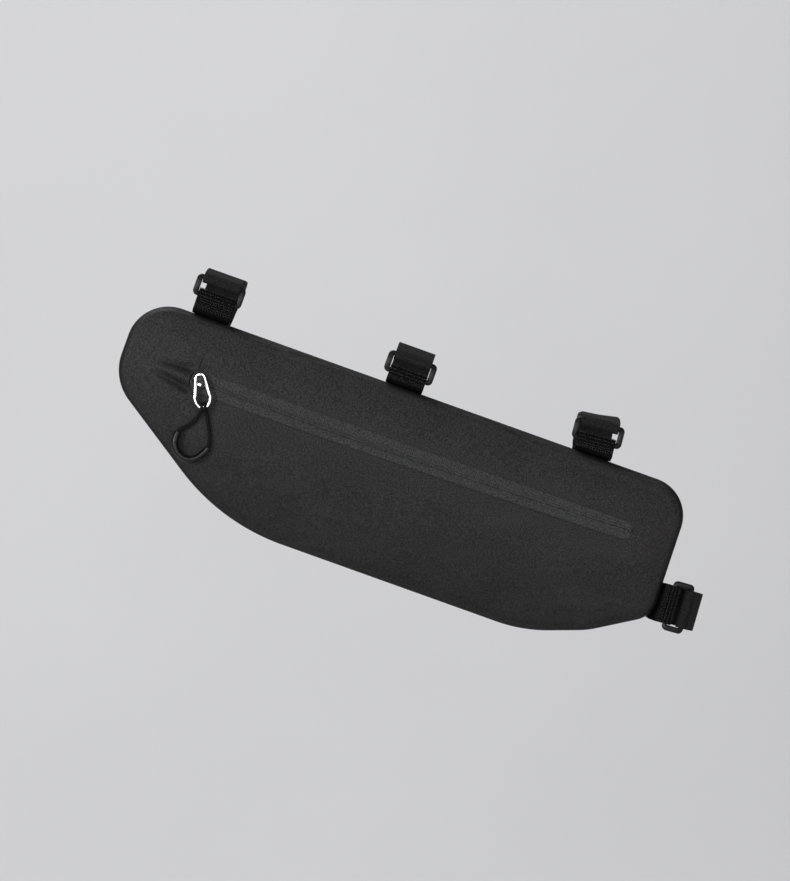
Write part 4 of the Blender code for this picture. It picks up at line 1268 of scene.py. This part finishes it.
def build_tapes():
    scene = bpy.context.scene
    bag, zipper = scene.bag, scene.zip
    first, last = at(*SLOT_STATIONS[0][:2]), at(*SLOT_STATIONS[2][:2])
    low = first.x - (SLOT_STATIONS[0][2] * bag.height - TAPE_ROOM) * 0.997
    high = last.x + (SLOT_STATIONS[2][2] * bag.height - TAPE_ROOM) * 0.997
    face = -bag.depth / 2 + TAPE_SINK
    look = kept("laminated tape", laminated_tape)
    for name, side in (("upper", 1), ("lower", -1)):
        rows, uvs = [], []
        for k in range(TAPE_STEPS + 1):
            share = k / TAPE_STEPS
            share = blend(share, 0.5 - 0.5 * math.cos(math.pi * share), 0.35)
            x = blend(low, high, share)
            bottom, top, meet = slot_at(x)
            edge = top if side > 0 else bottom
            start = meet + side * zipper.slit / 2
            width = max(side * (edge - start), 0.0002)
            section = tape_profile(width, zipper.lip, zipper.tape_thickness)
            rows.append([(x, face - out, start + side * reach) for reach, out in section])
            uvs.extend((x, reach) for reach, _ in section)
        tape = lofted(f"zip_laminate_{name}", rows, look, hang(), uvs, flat=50)
        ready(tape, [f"zip_tape_{name}"])


def build_coil():
    """Lines of thread along the slit, one on the lower lip and two above it."""
    scene = bpy.context.scene
    bag, zipper = scene.bag, scene.zip
    first, last = at(*SLOT_STATIONS[0][:2]), at(*SLOT_STATIONS[2][:2])
    out = -bag.depth / 2 + TAPE_SINK - zipper.lip * 0.58
    up = hang().to_3x3() @ Vector((0, -1, 0))
    start, end = first.x + zipper.slider_length * 0.62, last.x + 0.003
    lines = []
    places = [blend(start, end, k / THREAD_STEPS) for k in range(THREAD_STEPS + 1)]
    for drop, sunk, lean in THREAD_LINES:
        line = [hang() @ Vector((x, out + zipper.lip * sunk, slot_at(x)[2] - drop)) for x in places]
        lines.append((line, [up] * len(line), lean))
    values = {"Pitch": zipper.rib, "Length": zipper.rib * 0.86, "Width": 0.00046, "Height": 0.00040,
              "Wobble": 0.10, "Seed": 3}
    made = grown("zip_coil_ribs", bits_tree("Stitch Run", False), lines, values,
                 kept("coil thread", coil_thread))
    ready(made, [])


def slider_plan(grow):
    """The slider's outline seen from the front: shoulders, waist and narrow tail."""
    zipper = bpy.context.scene.zip
    half, wide = zipper.slider_length / 2, zipper.slider_width / 2
    corners = [
        Vector((-half, -wide * 0.55)), Vector((-half, wide * 0.55)), Vector((-half * 0.72, wide)),
        Vector((half * 0.05, wide * 0.96)), Vector((half * 0.55, wide * 0.74)), Vector((half, wide * 0.70)),
        Vector((half, -wide * 0.70)), Vector((half * 0.55, -wide * 0.74)),
        Vector((half * 0.05, -wide * 0.96)), Vector((-half * 0.72, -wide)),
    ]
    radii = [0.0010, 0.0010, 0.0012, 0.004, 0.003, 0.0008, 0.0008, 0.003, 0.004, 0.0012]
    line = rounded(corners, radii, 9.0, 0.0005, cyclic=True)
    return [Vector((p.x * (1 - grow / half), p.y * (1 - grow / wide))) for p in line]


def slider_top():
    zipper = bpy.context.scene.zip
    return zipper.slider_height + zipper.lip + GAP


def build_slider_body():
    zipper = bpy.context.scene.zip
    tall = zipper.slider_height
    levels = [
        (0.0007, 0.0), (0.0002, 0.00006), (0.0, 0.0003), (0.0, 0.0008), (0.00035, 0.00105),
        (0.00035, 0.00125), (0.0, 0.0015), (0.0, tall - 0.0003), (0.0001, tall - 0.0001),
        (0.0003, tall - 0.00003), (0.0009, tall), (0.0013, tall - 0.00012), (0.0030, tall - 0.00014),
    ]
    foot = zipper.lip + GAP
    rows = [[(p.x, -(foot + up), p.y) for p in slider_plan(grow)] for grow, up in levels]
    body = lofted("zip_slider_body", rows, kept("blackened metal", dark_metal), slider_seat(), flat=60)
    ready(body, ["zip_slider"])


def build_bridge():
    """The bail that holds the puller, and its raised foot, low on the slider's face."""
    zipper = bpy.context.scene.zip
    look = kept("bright metal", bright_metal)
    low = -(slider_top() - zipper.slider_height * 0.4)
    top = -(slider_top() + zipper.puller_wire + zipper.bail_wire / 2 + 2 * GAP)
    front, rear = -zipper.slider_length * 0.42, zipper.slider_length * 0.18
    legs = [Vector((front, low)), Vector((front, top)), Vector((rear, top)), Vector((rear, low))]
    line = [Vector((p.x, p.y, zipper.bail_rise)) for p in rounded(legs, [0.0013] * 4, 8.0, 0.0006)]
    section = squircle(zipper.bail_wire * 0.52, zipper.bail_wire / 2, 20, 5.0)
    bail = tube("bail_part", line, section, Vector((0, -1, 0)), look, slider_seat())
    rows = []
    for grow, up in ((0.0, 0.0), (0.0, 0.00030), (0.00008, 0.00038), (0.00020, 0.00042)):
        section = squircle(0.0017 - grow, 0.0010 - grow, 28, 6.0)
        rows.append([(a + 0.0009, -(slider_top() - 0.0002 + up), b - 0.0016) for a, b in section])
    boss = lofted("boss_part", rows, look, slider_seat(), flat=50)
    ready(one_piece("zip_slider_bridge", [bail, boss]), [])


def build_puller():
    """The puller's loop, with broad shoulders above and thin towards the lowest bar."""
    zipper = bpy.context.scene.zip
    left = [Vector((-half * zipper.puller_width, -drop * zipper.puller_length))
            for drop, half, _ in PULLER_SHAPE]
    right = [Vector((-point.x, point.y)) for point in reversed(left)]
    radii = [corner * zipper.puller_width for _, _, corner in PULLER_SHAPE]
    line = rounded(left + right, radii + radii[::-1], 6.0, 0.0008, cyclic=True)
    points = [Vector((p.x + zipper.puller_shift, -puller_out(), p.y + zipper.puller_rise)) for p in line]
    section = squircle(zipper.puller_wire * 0.5, zipper.puller_wire * 0.5, 20, 4.0)
    rings = []
    for point, place, (_, side, top) in zip(points, line, rails(points, Vector((0, -1, 0)), cyclic=True)):
        drop = -place.y / zipper.puller_length
        broad = 1.0 + 0.32 * float(smooth((drop - 0.30) / 0.10)) * float(smooth((0.72 - drop) / 0.10))
        inward = Vector((zipper.puller_shift - point.x, 0, 0)).normalized()
        inward = inward * (broad - 1) * zipper.puller_wire / 2
        rings.append([point + inward + side * a * broad + top * b for a, b in section])
    look = kept("bright metal", bright_metal)
    loop = lofted("zip_puller_loop", rings, look, puller_hook(), flat=50, looped=True)
    ready(loop, ["zip_puller"])


def build_stop():
    """The end stop across the rear end of the zip."""
    scene = bpy.context.scene
    zipper = scene.zip
    along, down, half_width, slit = SLOT_STATIONS[2]
    place = at(along, down + slit * half_width)
    length, width, height = zipper.stop_length, zipper.stop_width, zipper.stop_height
    rows = []
    for k in range(11):
        share = k / 10 * 2 - 1
        end = math.sqrt(max(1 - abs(share) ** 6, 0.02))
        section = squircle(length / 2 * (0.80 + 0.20 * end), height / 2 * (0.7 + 0.3 * end), 16, 3.2)
        rows.append([(a, -b, share * width / 2) for a, b in section])
    out = scene.bag.depth / 2 + zipper.lip + height / 2
    seat = hang() @ Matrix.Translation((place.x + half_width * scene.bag.height - length, -out, place.y))
    stop = lofted("zip_stop_clip", rows, kept("moulded plastic", moulded_plastic), seat)
    ready(stop, ["zip_end_stop"])


def one_piece(name, pieces):
    """Several pieces joined in one object."""
    with bpy.context.temp_override(active_object=pieces[0], selected_editable_objects=pieces):
        bpy.ops.object.join()
    pieces[0].name = name
    pieces[0].data.name = name
    return pieces[0]


def cord_line(first, last, pieces):
    """The cord's line between two rows of its route, from the middle of the puller's lowest bar."""
    length = bpy.context.scene.zip.puller_length
    route = [Vector((right * length, -out, up * length)) for right, up, out in CORD_ROUTE]
    return smooth_route(route, pieces)[first * pieces:last * pieces + 1]


def build_sleeve():
    """The rubber grip round the cord: in at one end, along its outside, and back along its bore."""
    cord = bpy.context.scene.cord
    line = cord_line(SLEEVE_FROM, SLEEVE_TO, 8)
    outer, inner, last = cord.sleeve / 2, cord.diameter / 2 + cord.bore_room, len(line) - 1
    # From bore to outside at one end, each radius with how far it is pushed along the sleeve
    end = ((inner, 0.0002), (inner + 0.0001, 0.0), (outer - 0.0003, 0.0), (outer - 0.0001, 0.0001),
           (outer, 0.0004))
    profile = [(0, radius, push) for radius, push in end]
    profile += [(k, outer, 0.0) for k in range(1, last)]
    profile += [(last, radius, -push) for radius, push in reversed(end)]
    profile += [(k, inner, 0.0) for k in range(last - 1, 0, -1)]
    frames = rails(line, Vector((0, -1, 0)))
    rings = []
    for k, radius, push in profile:
        run, side, top = frames[k]
        centre = line[k] + run * push
        rings.append([centre + (side * a + top * b) * radius for a, b in circle(1.0, SLEEVE_SIDES)])
    sleeve = lofted("cord_sleeve_grip", rings, kept("black rubber", black_rubber), lowest_bar(), looped=True)
    return ready(sleeve, ["cord_sleeve"])


def build_cord():
    scene = bpy.context.scene
    cord, zipper = scene.cord, scene.zip
    braided = kept("braided cord", braided_cord)
    line = cord_line(0, len(CORD_ROUTE) - 1, 8)
    out = Vector((0, -1, 0))
    made = tube("puller_cord_braid", line, circle(cord.diameter / 2, CORD_SIDES), out, braided, lowest_bar())
    ready(made, ["puller_cord"])

    reach = zipper.puller_wire / 2 + GAP + cord.hitch / 2
    route = [Vector((right * reach, -puller_out() - forward * reach, up * reach))
             for right, up, forward in HITCH_ROUTE]
    hitch = tube("cord_hitch_turns", smooth_route(route, 7), circle(cord.hitch / 2, CORD_SIDES), out, braided,
                 lowest_bar(), round_ends=3)
    ready(hitch, ["cord_hitch"])

    sleeve = build_sleeve()


# Straps. Each is drawn across and outwards from the gusset that it is sewn to, then given its
# width. Across is negative on the zip side.
BEND_TURN = 9.0
SHOULDER_TURN = 6
ROOT_BEND = 0.003


def loop_radius():
    strap = bpy.context.scene.strap
    return strap.bar / 2 + GAP + strap.thickness / 2


def bar_reach():
    strap = bpy.context.scene.strap
    return strap.bar / 2 + GAP + strap.thickness + strap.window / 2


def heading(vector_2d):
    return math.degrees(math.atan2(vector_2d.y, vector_2d.x))


def bar_turn(bar, start, end):
    """The turn that a strap makes round a bar, between two angles."""
    steps = max(2, math.ceil(abs(end - start) / BEND_TURN))
    angles = [math.radians(blend(start, end, k / steps)) for k in range(steps + 1)]
    return [bar + turned(Vector((loop_radius(), 0)), angle) for angle in angles]


def from_point(point, bar, side):
    """The angle at which a straight run from a point meets the turn round a bar, on one side."""
    away = point - bar
    return heading(away) + side * math.degrees(math.acos(min(loop_radius() / away.length, 1.0)))


def rooted(side, wall, sewn, surface, above):
    """A strap's sewn end on the gusset, bent up at the foot of its wall towards a point above."""
    seat = GAP + bpy.context.scene.strap.thickness / 2
    steps = 10 if surface(side * (wall - sewn)) else 1
    places = [side * blend(wall - sewn, wall, k / steps) for k in range(steps + 1)]
    line = [Vector((place, surface(place) + seat)) for place in places]
    return rounded(line + [above], [0.0] * steps + [ROOT_BEND, 0.0], BEND_TURN)[:-1]


def shoulder_arc(centre, radius, start, end):
    """Points on a shoulder from one angle down to another, at the whole steps between them."""
    steps = [a for a in range(0, 181, SHOULDER_TURN) if end + 2 < a < start - 2]
    angles = [start] + sorted(steps, reverse=True) + [end]
    return [centre + turned(Vector((radius, 0)), math.radians(a)) for a in angles]


def from_shoulder(shoulder, radius, bar, reach):
    """The angle at which a straight run leaves a shoulder for the turn round a bar."""
    away = shoulder - bar
    share = (reach - radius) / away.length
    return heading(away) + math.degrees(math.acos(max(min(share, 1.0), -1.0)))


def strap_lines(size, sewn, tip, shoulder, surface):
    """The base's and the wrap's line, the ring's middle and up, and where the base's tail starts."""
    strap = bpy.context.scene.strap
    half_tube, passage, ring = size
    layer = strap.thickness + GAP
    seat = GAP + strap.thickness / 2
    wall = half_tube + seat
    up = turned(Vector((0, 1)), -tip)
    centre = Vector((-wall - loop_radius(), ring))
    lower, upper = centre - up * bar_reach(), centre + up * bar_reach()

    foot = Vector((-wall, surface(-wall) + seat))
    tail = -wall - layer - GAP
    end = Vector((tail, surface(-wall) + seat + strap.thickness * 0.4))
    knee = Vector((tail, blend(end.y, lower.y, 0.35)))
    turn = bar_turn(lower, from_point(foot, lower, 1), from_point(knee, lower, -1) + 360)
    base = rooted(-1, wall, sewn, surface, turn[0]) + turn
    base += rounded([turn[-1], knee, end], [0, 0.004, 0], BEND_TURN)[1:]

    near = Vector((shoulder - half_tube, passage - shoulder))
    far = Vector((half_tube - shoulder, passage - shoulder))
    inner, outer = shoulder + seat, shoulder + seat + layer
    wrap = rooted(1, wall, sewn, surface, Vector((wall, far.y)))
    wrap += shoulder_arc(far, inner, 90, 0)[::-1]
    arrive = from_shoulder(near, inner, upper, -loop_radius())
    leave = from_shoulder(near, outer, upper, loop_radius())
    wrap += shoulder_arc(near, inner, arrive, 90)[::-1]
    wrap += bar_turn(upper, arrive + 180, leave)
    wrap += shoulder_arc(near, outer, leave, 90)
    wrap += shoulder_arc(far, outer, 90, 0)
    wrap.append(Vector((wall + layer, strap.wrap_end)))
    return merged(base), merged(wrap), centre, up, turn[0]


class Band:
    """A strap along a line, with the places on its two faces."""

    def __init__(self, line, spread, matrix):
        self.line = evened(line, STRAP_STEP)
        self.spread = spread
        self.matrix = matrix
        self.lengths = [0.0]
        for one, other in zip(self.line, self.line[1:]):
            self.lengths.append(self.lengths[-1] + (other - one).length)
        self.normals = []
        for i, point in enumerate(self.line):
            before, after = self.line[max(i - 1, 0)], self.line[min(i + 1, len(self.line) - 1)]
            into, onward = point - before, after - point
            if i == 0:
                into = onward
            if i == len(self.line) - 1:
                onward = into
            run = (into.normalized() + onward.normalized()).normalized()
            bend = max(math.cos(into.angle(onward) / 2), 0.7)
            self.normals.append(Vector((-run.y, run.x)) / bend)

    def total(self):
        return self.lengths[-1]

    def nearest(self, point):
        """The length along the band of the point of its line that is nearest to a given one."""
        away = [(p - point).length for p in self.line]
        return self.lengths[away.index(min(away))]

    def place(self, length, edge, out):
        """A place at a length along the band and a share of its half width, out from its middle."""
        k = int(np.searchsorted(self.lengths, min(max(length, 0.0), self.total()), side="right")) - 1
        k = min(k, len(self.line) - 2)
        share = (length - self.lengths[k]) / (self.lengths[k + 1] - self.lengths[k])
        point = self.line[k].lerp(self.line[k + 1], share)
        normal = self.normals[k].lerp(self.normals[k + 1], share)
        return self.matrix @ Vector(self.spread(point + normal * out, edge, point.y))

    def up(self, length, edge, side):
        """The way out of one of its faces."""
        return (self.place(length, edge, 0.001 * side) - self.place(length, edge, 0.0)).normalized()


def ribbon(name, band, look, solid, ribs):
    """A strap's mesh, with rounded edges and, on its outer side, ribs along it."""
    strap = bpy.context.scene.strap
    half = strap.thickness / 2
    count = 50 if ribs else 22
    outer = []
    for k in range(count + 1):
        edge = blend(-0.986, 0.986, k / count)
        thick = half * (0.97 + 0.03 * abs(edge) ** 8)
        if ribs:
            wave = abs(math.sin(math.pi * edge * strap.width / 2 / strap.rib))
            thick = half * (0.90 + 0.09 * wave)
        outer.append((edge, thick))
    section = [(-1.0, 0.0), (-1.0, half * 0.5)] + outer + [(1.0, half * 0.5), (1.0, 0.0)]
    section += [(1.0, -half * 0.5)] + [(edge, -thick) for edge, thick in outer[::-1][::2]]
    section += [(-1.0, -half * 0.5)]
    rows, uvs = [], []
    for point, normal, length in zip(band.line, band.normals, band.lengths):
        end = min(length, band.total() - length)
        taper = 0.55 + 0.45 * math.sqrt(min(end / 0.0006, 1.0))
        rows.append([band.spread(point + normal * out * taper, edge, point.y) for edge, out in section])
        uvs.extend((length, edge * strap.width / 2) for edge, _ in section)
    return ready(lofted(name, rows, look, band.matrix, uvs, flat=60), [solid])


def build_ring(name, centre, up, ring_place, matrix):
    strap = bpy.context.scene.strap
    reach = bar_reach()
    half_width = strap.width / 2 + 0.0003 + strap.side_bar / 2
    corners = [Vector((-half_width, -reach)), Vector((half_width, -reach)),
               Vector((half_width, reach)), Vector((-half_width, reach))]
    line = rounded(corners, [0.0032 - strap.bar / 2] * 4, 10.0, step=0.0012, cyclic=True)
    out = Vector((-up.y, up.x))
    points = []
    for point in line:
        bow = 0.0008 * (1 - (point.y / reach) ** 2)
        points.append(Vector(ring_place(centre + up * point.y + out * bow, point.x)))
    look = kept("moulded plastic", moulded_plastic)
    outward = Vector(ring_place(centre + out, 0.0)) - Vector(ring_place(centre, 0.0))
    rings = []
    for point, place, (_, side, top) in zip(points, line, rails(points, outward, cyclic=True)):
        # Broader at the sides than where the straps turn round it
        beyond = float(smooth((abs(place.x) - strap.width / 2) / (half_width - strap.width / 2)))
        broad = blend(strap.bar, strap.side_bar, beyond) / 2
        section = squircle(broad, strap.bar / 2 * 0.97, 20, 3.4)
        rings.append([point + side * a + top * b for a, b in section])
    made = lofted(f"{name}_ring_moulding", rings, look, matrix, looped=True)
    return ready(made, [f"strap_{name}_ring"])


def strap_parts():
    """For each strap: its name, its base and wrap as bands, its ring and where its tail starts."""
    scene = bpy.context.scene
    strap = scene.strap
    plans = []
    for name, along, passage, ring, turn, flare, skew in TOP_STRAPS:
        foot = at(along, 0)
        matrix = hang() @ Matrix.Translation((foot.x, 0, foot.y))
        size = (strap.top_tube / 2, passage, ring)
        plans.append((name, matrix, size, (math.radians(turn), flare, skew), strap.top_sewn, 0.0, 0.008,
                      lambda across: 0.0))
    high, low = at(*OUTLINE_CORNERS[1][:2]), at(*OUTLINE_CORNERS[2][:2])
    drop = (strap.seat_down - OUTLINE_CORNERS[1][1]) * scene.bag.height
    foot = high.lerp(low, drop / (high.y - low.y))
    slant = math.atan2(low.x - high.x, high.y - low.y)
    matrix = hang() @ Matrix.Translation((foot.x, 0, foot.y))
    matrix = matrix @ Matrix.Rotation(math.pi / 2 - slant, 4, "Y")
    size = (strap.seat_tube / 2, strap.seat_passage, strap.seat_ring)
    plans.append(("seat", matrix, size, (strap.seat_lean - slant, 0.0, 0.0), strap.seat_sewn, strap.seat_tip,
                  strap.seat_tube / 2, dented))

    return [strap_part(*plan) for plan in plans]


def strap_part(name, matrix, size, lean, sewn, tip, shoulder, surface):
    strap = bpy.context.scene.strap
    half_tube, passage, _ = size
    turn, flare, skew = lean
    base_line, wrap_line, centre, up, turn_start = strap_lines(size, sewn, tip, shoulder, surface)
    seat = GAP + strap.thickness

    def place(along, point, low):
        """Leans a point forward, by less where the strap lies on the gusset."""
        angle = turn * float(smooth((low - seat) / (2 * strap.thickness)))
        cosine, sine = math.cos(angle), math.sin(angle)
        return (along * cosine - point.y * sine, point.x, along * sine + point.y * cosine)

    def base_place(point, edge, low):
        return place(edge * strap.width / 2, point, low)

    def wrap_place(point, edge, low):
        share = float(smooth((point.x + half_tube) / (2 * shoulder)))
        high = min(point.y / passage, 1.0) * share
        lifted = Vector((point.x, point.y + edge * flare / 2 * high))
        return place(edge * strap.width / 2 + skew * high, lifted, low)

    def ring_place(point, along):
        return place(along, point, 1.0)

    base, wrap = Band(base_line, base_place, matrix), Band(wrap_line, wrap_place, matrix)
    return name, base, wrap, (centre, up, ring_place, matrix), base.nearest(turn_start), sewn


def build_bases():
    """The loop-pile part of each strap, with its loops in slanting rows."""
    strap = bpy.context.scene.strap
    look = kept("loop pile", loop_pile)
    for name, base, _, _, tail, _ in strap_parts():
        ribbon(f"{name}_base_tape", base, look, f"strap_{name}_base", False)
        lines = []
        count = int((base.total() - tail - 0.0010) / strap.loop)
        for k in range(count):
            length = tail + strap.loop * (k + 0.5)
            shift = 0.25 * (k % 2)
            edges = [blend(-0.93, 0.93, (j + shift) / 12.25) for j in range(13)]
            line = [base.place(length, edge, -strap.thickness / 2 - 0.00002) for edge in edges]
            lines.append((line, [base.up(length, edge, -1) for edge in edges], 0.55 if k % 2 else -0.55))
        values = {"Pitch": strap.loop, "Length": strap.loop * 0.86, "Width": strap.loop * 0.62,
                  "Height": strap.loop * 0.40, "Wobble": 0.80, "Seed": strap.seed}
        loops = grown(f"{name}_base_loops", bits_tree("Loop Run", True), lines, values,
                      kept("loop thread", loop_thread))
        ready(loops, [])


def build_rings():
    for name, _, _, ring, _, _ in strap_parts():
        build_ring(name, *ring)


def build_wraps():
    """The hook-side part of each strap, from the bag's far side over the tube and back."""
    look = kept("woven strap", woven_strap)
    for name, _, wrap, _, _, _ in strap_parts():
        ribbon(f"{name}_wrap_tape", wrap, look, f"strap_{name}_wrap", True)


def sewn_lines(band, side, first, last, rows, edges):
    """Rows of stitches along a band between two lengths, and across it."""
    half = bpy.context.scene.strap.thickness / 2
    lines = []
    for edge in edges:
        lengths = [blend(first, last, k / 12) for k in range(13)]
        line = [band.place(length, edge, side * half * 0.97) for length in lengths]
        lines.append((line, [band.up(length, edge, side) for length in lengths], 0.0))
    for length in rows:
        shares = [blend(-STITCHED_EDGE, STITCHED_EDGE, k / 16) for k in range(17)]
        line = [band.place(length, edge, side * half * 0.97) for edge in shares]
        lines.append((line, [band.up(length, edge, side) for edge in shares], 0.0))
    return lines


def build_stitches():
    """The seams that sew the straps to the bag, and those across their tails and ends."""
    look = kept("sewing thread", sewing_thread)
    for name, base, wrap, _, _, sewn in strap_parts():
        inner = max(sewn - 0.003, 0.003)
        lines = sewn_lines(base, -1, 0.0015, inner, (0.0015, inner), (-STITCHED_EDGE, STITCHED_EDGE))
        lines += sewn_lines(wrap, 1, 0.0015, inner, (0.0015, inner), (-STITCHED_EDGE, STITCHED_EDGE))
        lines += sewn_lines(base, -1, 0, 0, (base.total() - 0.0045, base.total() - 0.0016), ())
        lines += sewn_lines(wrap, 1, 0, 0, (wrap.total() - 0.0025,), ())
        made = grown(f"{name}_stitching", bits_tree("Stitch Run", False), lines, STITCH, look)
        ready(made, [])


def lamp(name, place, target, size, power):
    light = bpy.data.lights.new(name, "AREA")
    light.shape = "DISK"
    light.size = size
    light.energy = power
    made = bpy.data.objects.new(name, light)
    made.location = place
    bpy.context.scene.collection.objects.link(made)
    made.rotation_euler = (Vector(target) - made.location).to_track_quat("-Z", "Y").to_euler()


def build_stage():
    scene = bpy.context.scene
    stage = scene.stage
    # The floor runs away from the camera and curves up into the backdrop
    profile = rounded([Vector((-9.0, -stage.floor)), Vector((3.4, -stage.floor)), Vector((3.4, 7.0))],
                      [0.0, 1.6, 0.0], 4.0)
    rows = [[(x, p.x, p.y) for x in (-9.0, 9.0)] for p in profile]
    points, faces = loft(rows, False, False)
    floor = new_piece("studio_floor", points, faces, kept("pale paper", pale_paper))
    if floor.data.polygons[0].normal.z < 0:
        floor.data.flip_normals()

    for name, setting, place, target, size in LAMPS:
        lamp(name, place, target, size, getattr(stage, setting))
    scene.world = bpy.data.worlds.new("studio air")
    scene.world.use_nodes = True
    air = scene.world.node_tree.nodes["Background"]
    air.inputs["Color"].default_value = (0.95, 0.96, 1.0, 1.0)
    air.inputs["Strength"].default_value = stage.air
    scene.view_settings.view_transform = "Standard"

    camera = bpy.data.cameras.new("camera")
    camera.sensor_fit = "AUTO"
    camera.sensor_width = SENSOR
    camera.lens = SENSOR * (stage.camera_distance - STRAPS_OUT) / FRAME_HEIGHT
    camera.clip_start, camera.clip_end = 0.05, 40.0
    made = bpy.data.objects.new("camera", camera)
    made.location = (FRAME_MIDDLE[0], -stage.camera_distance, FRAME_MIDDLE[2])
    made.rotation_euler = (math.pi / 2, 0, 0)
    scene.collection.objects.link(made)
    scene.camera = made


class AddStage(bpy.types.Operator):
    """Sets up the floor, the lights and the camera"""

    bl_idname = "frame_bag.add_stage"
    bl_label = "Add Stage"

    def execute(self, context):
        build_stage()
        return {"FINISHED"}


class AddCord(bpy.types.Operator):
    """Adds the puller's cord with its hitch and its rubber sleeve"""

    bl_idname = "frame_bag.add_cord"
    bl_label = "Add Cord"

    def execute(self, context):
        build_cord()
        return {"FINISHED"}


class AddShell(bpy.types.Operator):
    """Adds the bag's shell of coated fabric"""

    bl_idname = "frame_bag.add_shell"
    bl_label = "Add Shell"

    def execute(self, context):
        build_shell()
        return {"FINISHED"}


class AddTapes(bpy.types.Operator):
    """Adds the zip's two laminated tapes"""

    bl_idname = "frame_bag.add_tapes"
    bl_label = "Add Zip Tapes"

    def execute(self, context):
        build_tapes()
        return {"FINISHED"}


class AddCoil(bpy.types.Operator):
    """Adds the lines of thread along the zip's slit"""

    bl_idname = "frame_bag.add_coil"
    bl_label = "Add Zip Threads"

    def execute(self, context):
        build_coil()
        return {"FINISHED"}


class AddSlider(bpy.types.Operator):
    """Adds the slider, its puller and the zip's end stop"""

    bl_idname = "frame_bag.add_slider"
    bl_label = "Add Slider"

    def execute(self, context):
        build_slider_body()
        build_bridge()
        build_puller()
        build_stop()
        return {"FINISHED"}


class AddBases(bpy.types.Operator):
    """Adds the loop-pile base of each strap"""

    bl_idname = "frame_bag.add_bases"
    bl_label = "Add Strap Bases"

    def execute(self, context):
        build_bases()
        return {"FINISHED"}


class AddRings(bpy.types.Operator):
    """Adds the moulded ring of each strap"""

    bl_idname = "frame_bag.add_rings"
    bl_label = "Add Rings"

    def execute(self, context):
        build_rings()
        return {"FINISHED"}


class AddWraps(bpy.types.Operator):
    """Adds the wrap of each strap"""

    bl_idname = "frame_bag.add_wraps"
    bl_label = "Add Strap Wraps"

    def execute(self, context):
        build_wraps()
        return {"FINISHED"}


class AddStitches(bpy.types.Operator):
    """Adds the stitches that sew the straps"""

    bl_idname = "frame_bag.add_stitches"
    bl_label = "Add Stitches"

    def execute(self, context):
        build_stitches()
        return {"FINISHED"}


STEPS = (
    AddStage, AddCord, AddShell, AddTapes, AddCoil, AddSlider, AddBases, AddRings, AddWraps, AddStitches,
)
SETTINGS = (
    ("bag", BagSettings),
    ("zip", ZipSettings),
    ("cord", CordSettings),
    ("strap", StrapSettings),
    ("stage", StageSettings),
)


class FrameBagPanel(bpy.types.Panel):
    """The bag's sizes and colours, and its steps"""

    bl_idname = "VIEW3D_PT_frame_bag"
    bl_label = "Frame Bag"
    bl_space_type = "VIEW_3D"
    bl_region_type = "UI"
    bl_category = "Frame Bag"

    def draw(self, context):
        for label, group in SETTINGS:
            box = self.layout.box()
            box.label(text=label.title())
            for setting in group.__annotations__:
                box.prop(getattr(context.scene, label), setting)
        for step in STEPS:
            self.layout.operator(step.bl_idname)


def register():
    for label, group in SETTINGS:
        bpy.utils.register_class(group)
        setattr(bpy.types.Scene, label, PointerProperty(type=group))
    for step in STEPS:
        bpy.utils.register_class(step)
    bpy.utils.register_class(FrameBagPanel)


def unregister():
    bpy.utils.unregister_class(FrameBagPanel)
    for step in reversed(STEPS):
        bpy.utils.unregister_class(step)
    for label, group in reversed(SETTINGS):
        delattr(bpy.types.Scene, label)
        bpy.utils.unregister_class(group)


def main():
    register()
    bpy.ops.frame_bag.add_stage()
    bpy.ops.frame_bag.add_cord()
    bpy.ops.frame_bag.add_shell()
    bpy.ops.frame_bag.add_tapes()
    bpy.ops.frame_bag.add_coil()
    bpy.ops.frame_bag.add_slider()
    bpy.ops.frame_bag.add_bases()
    bpy.ops.frame_bag.add_rings()
    bpy.ops.frame_bag.add_wraps()
    bpy.ops.frame_bag.add_stitches()


if __name__ == "__main__":
    main()
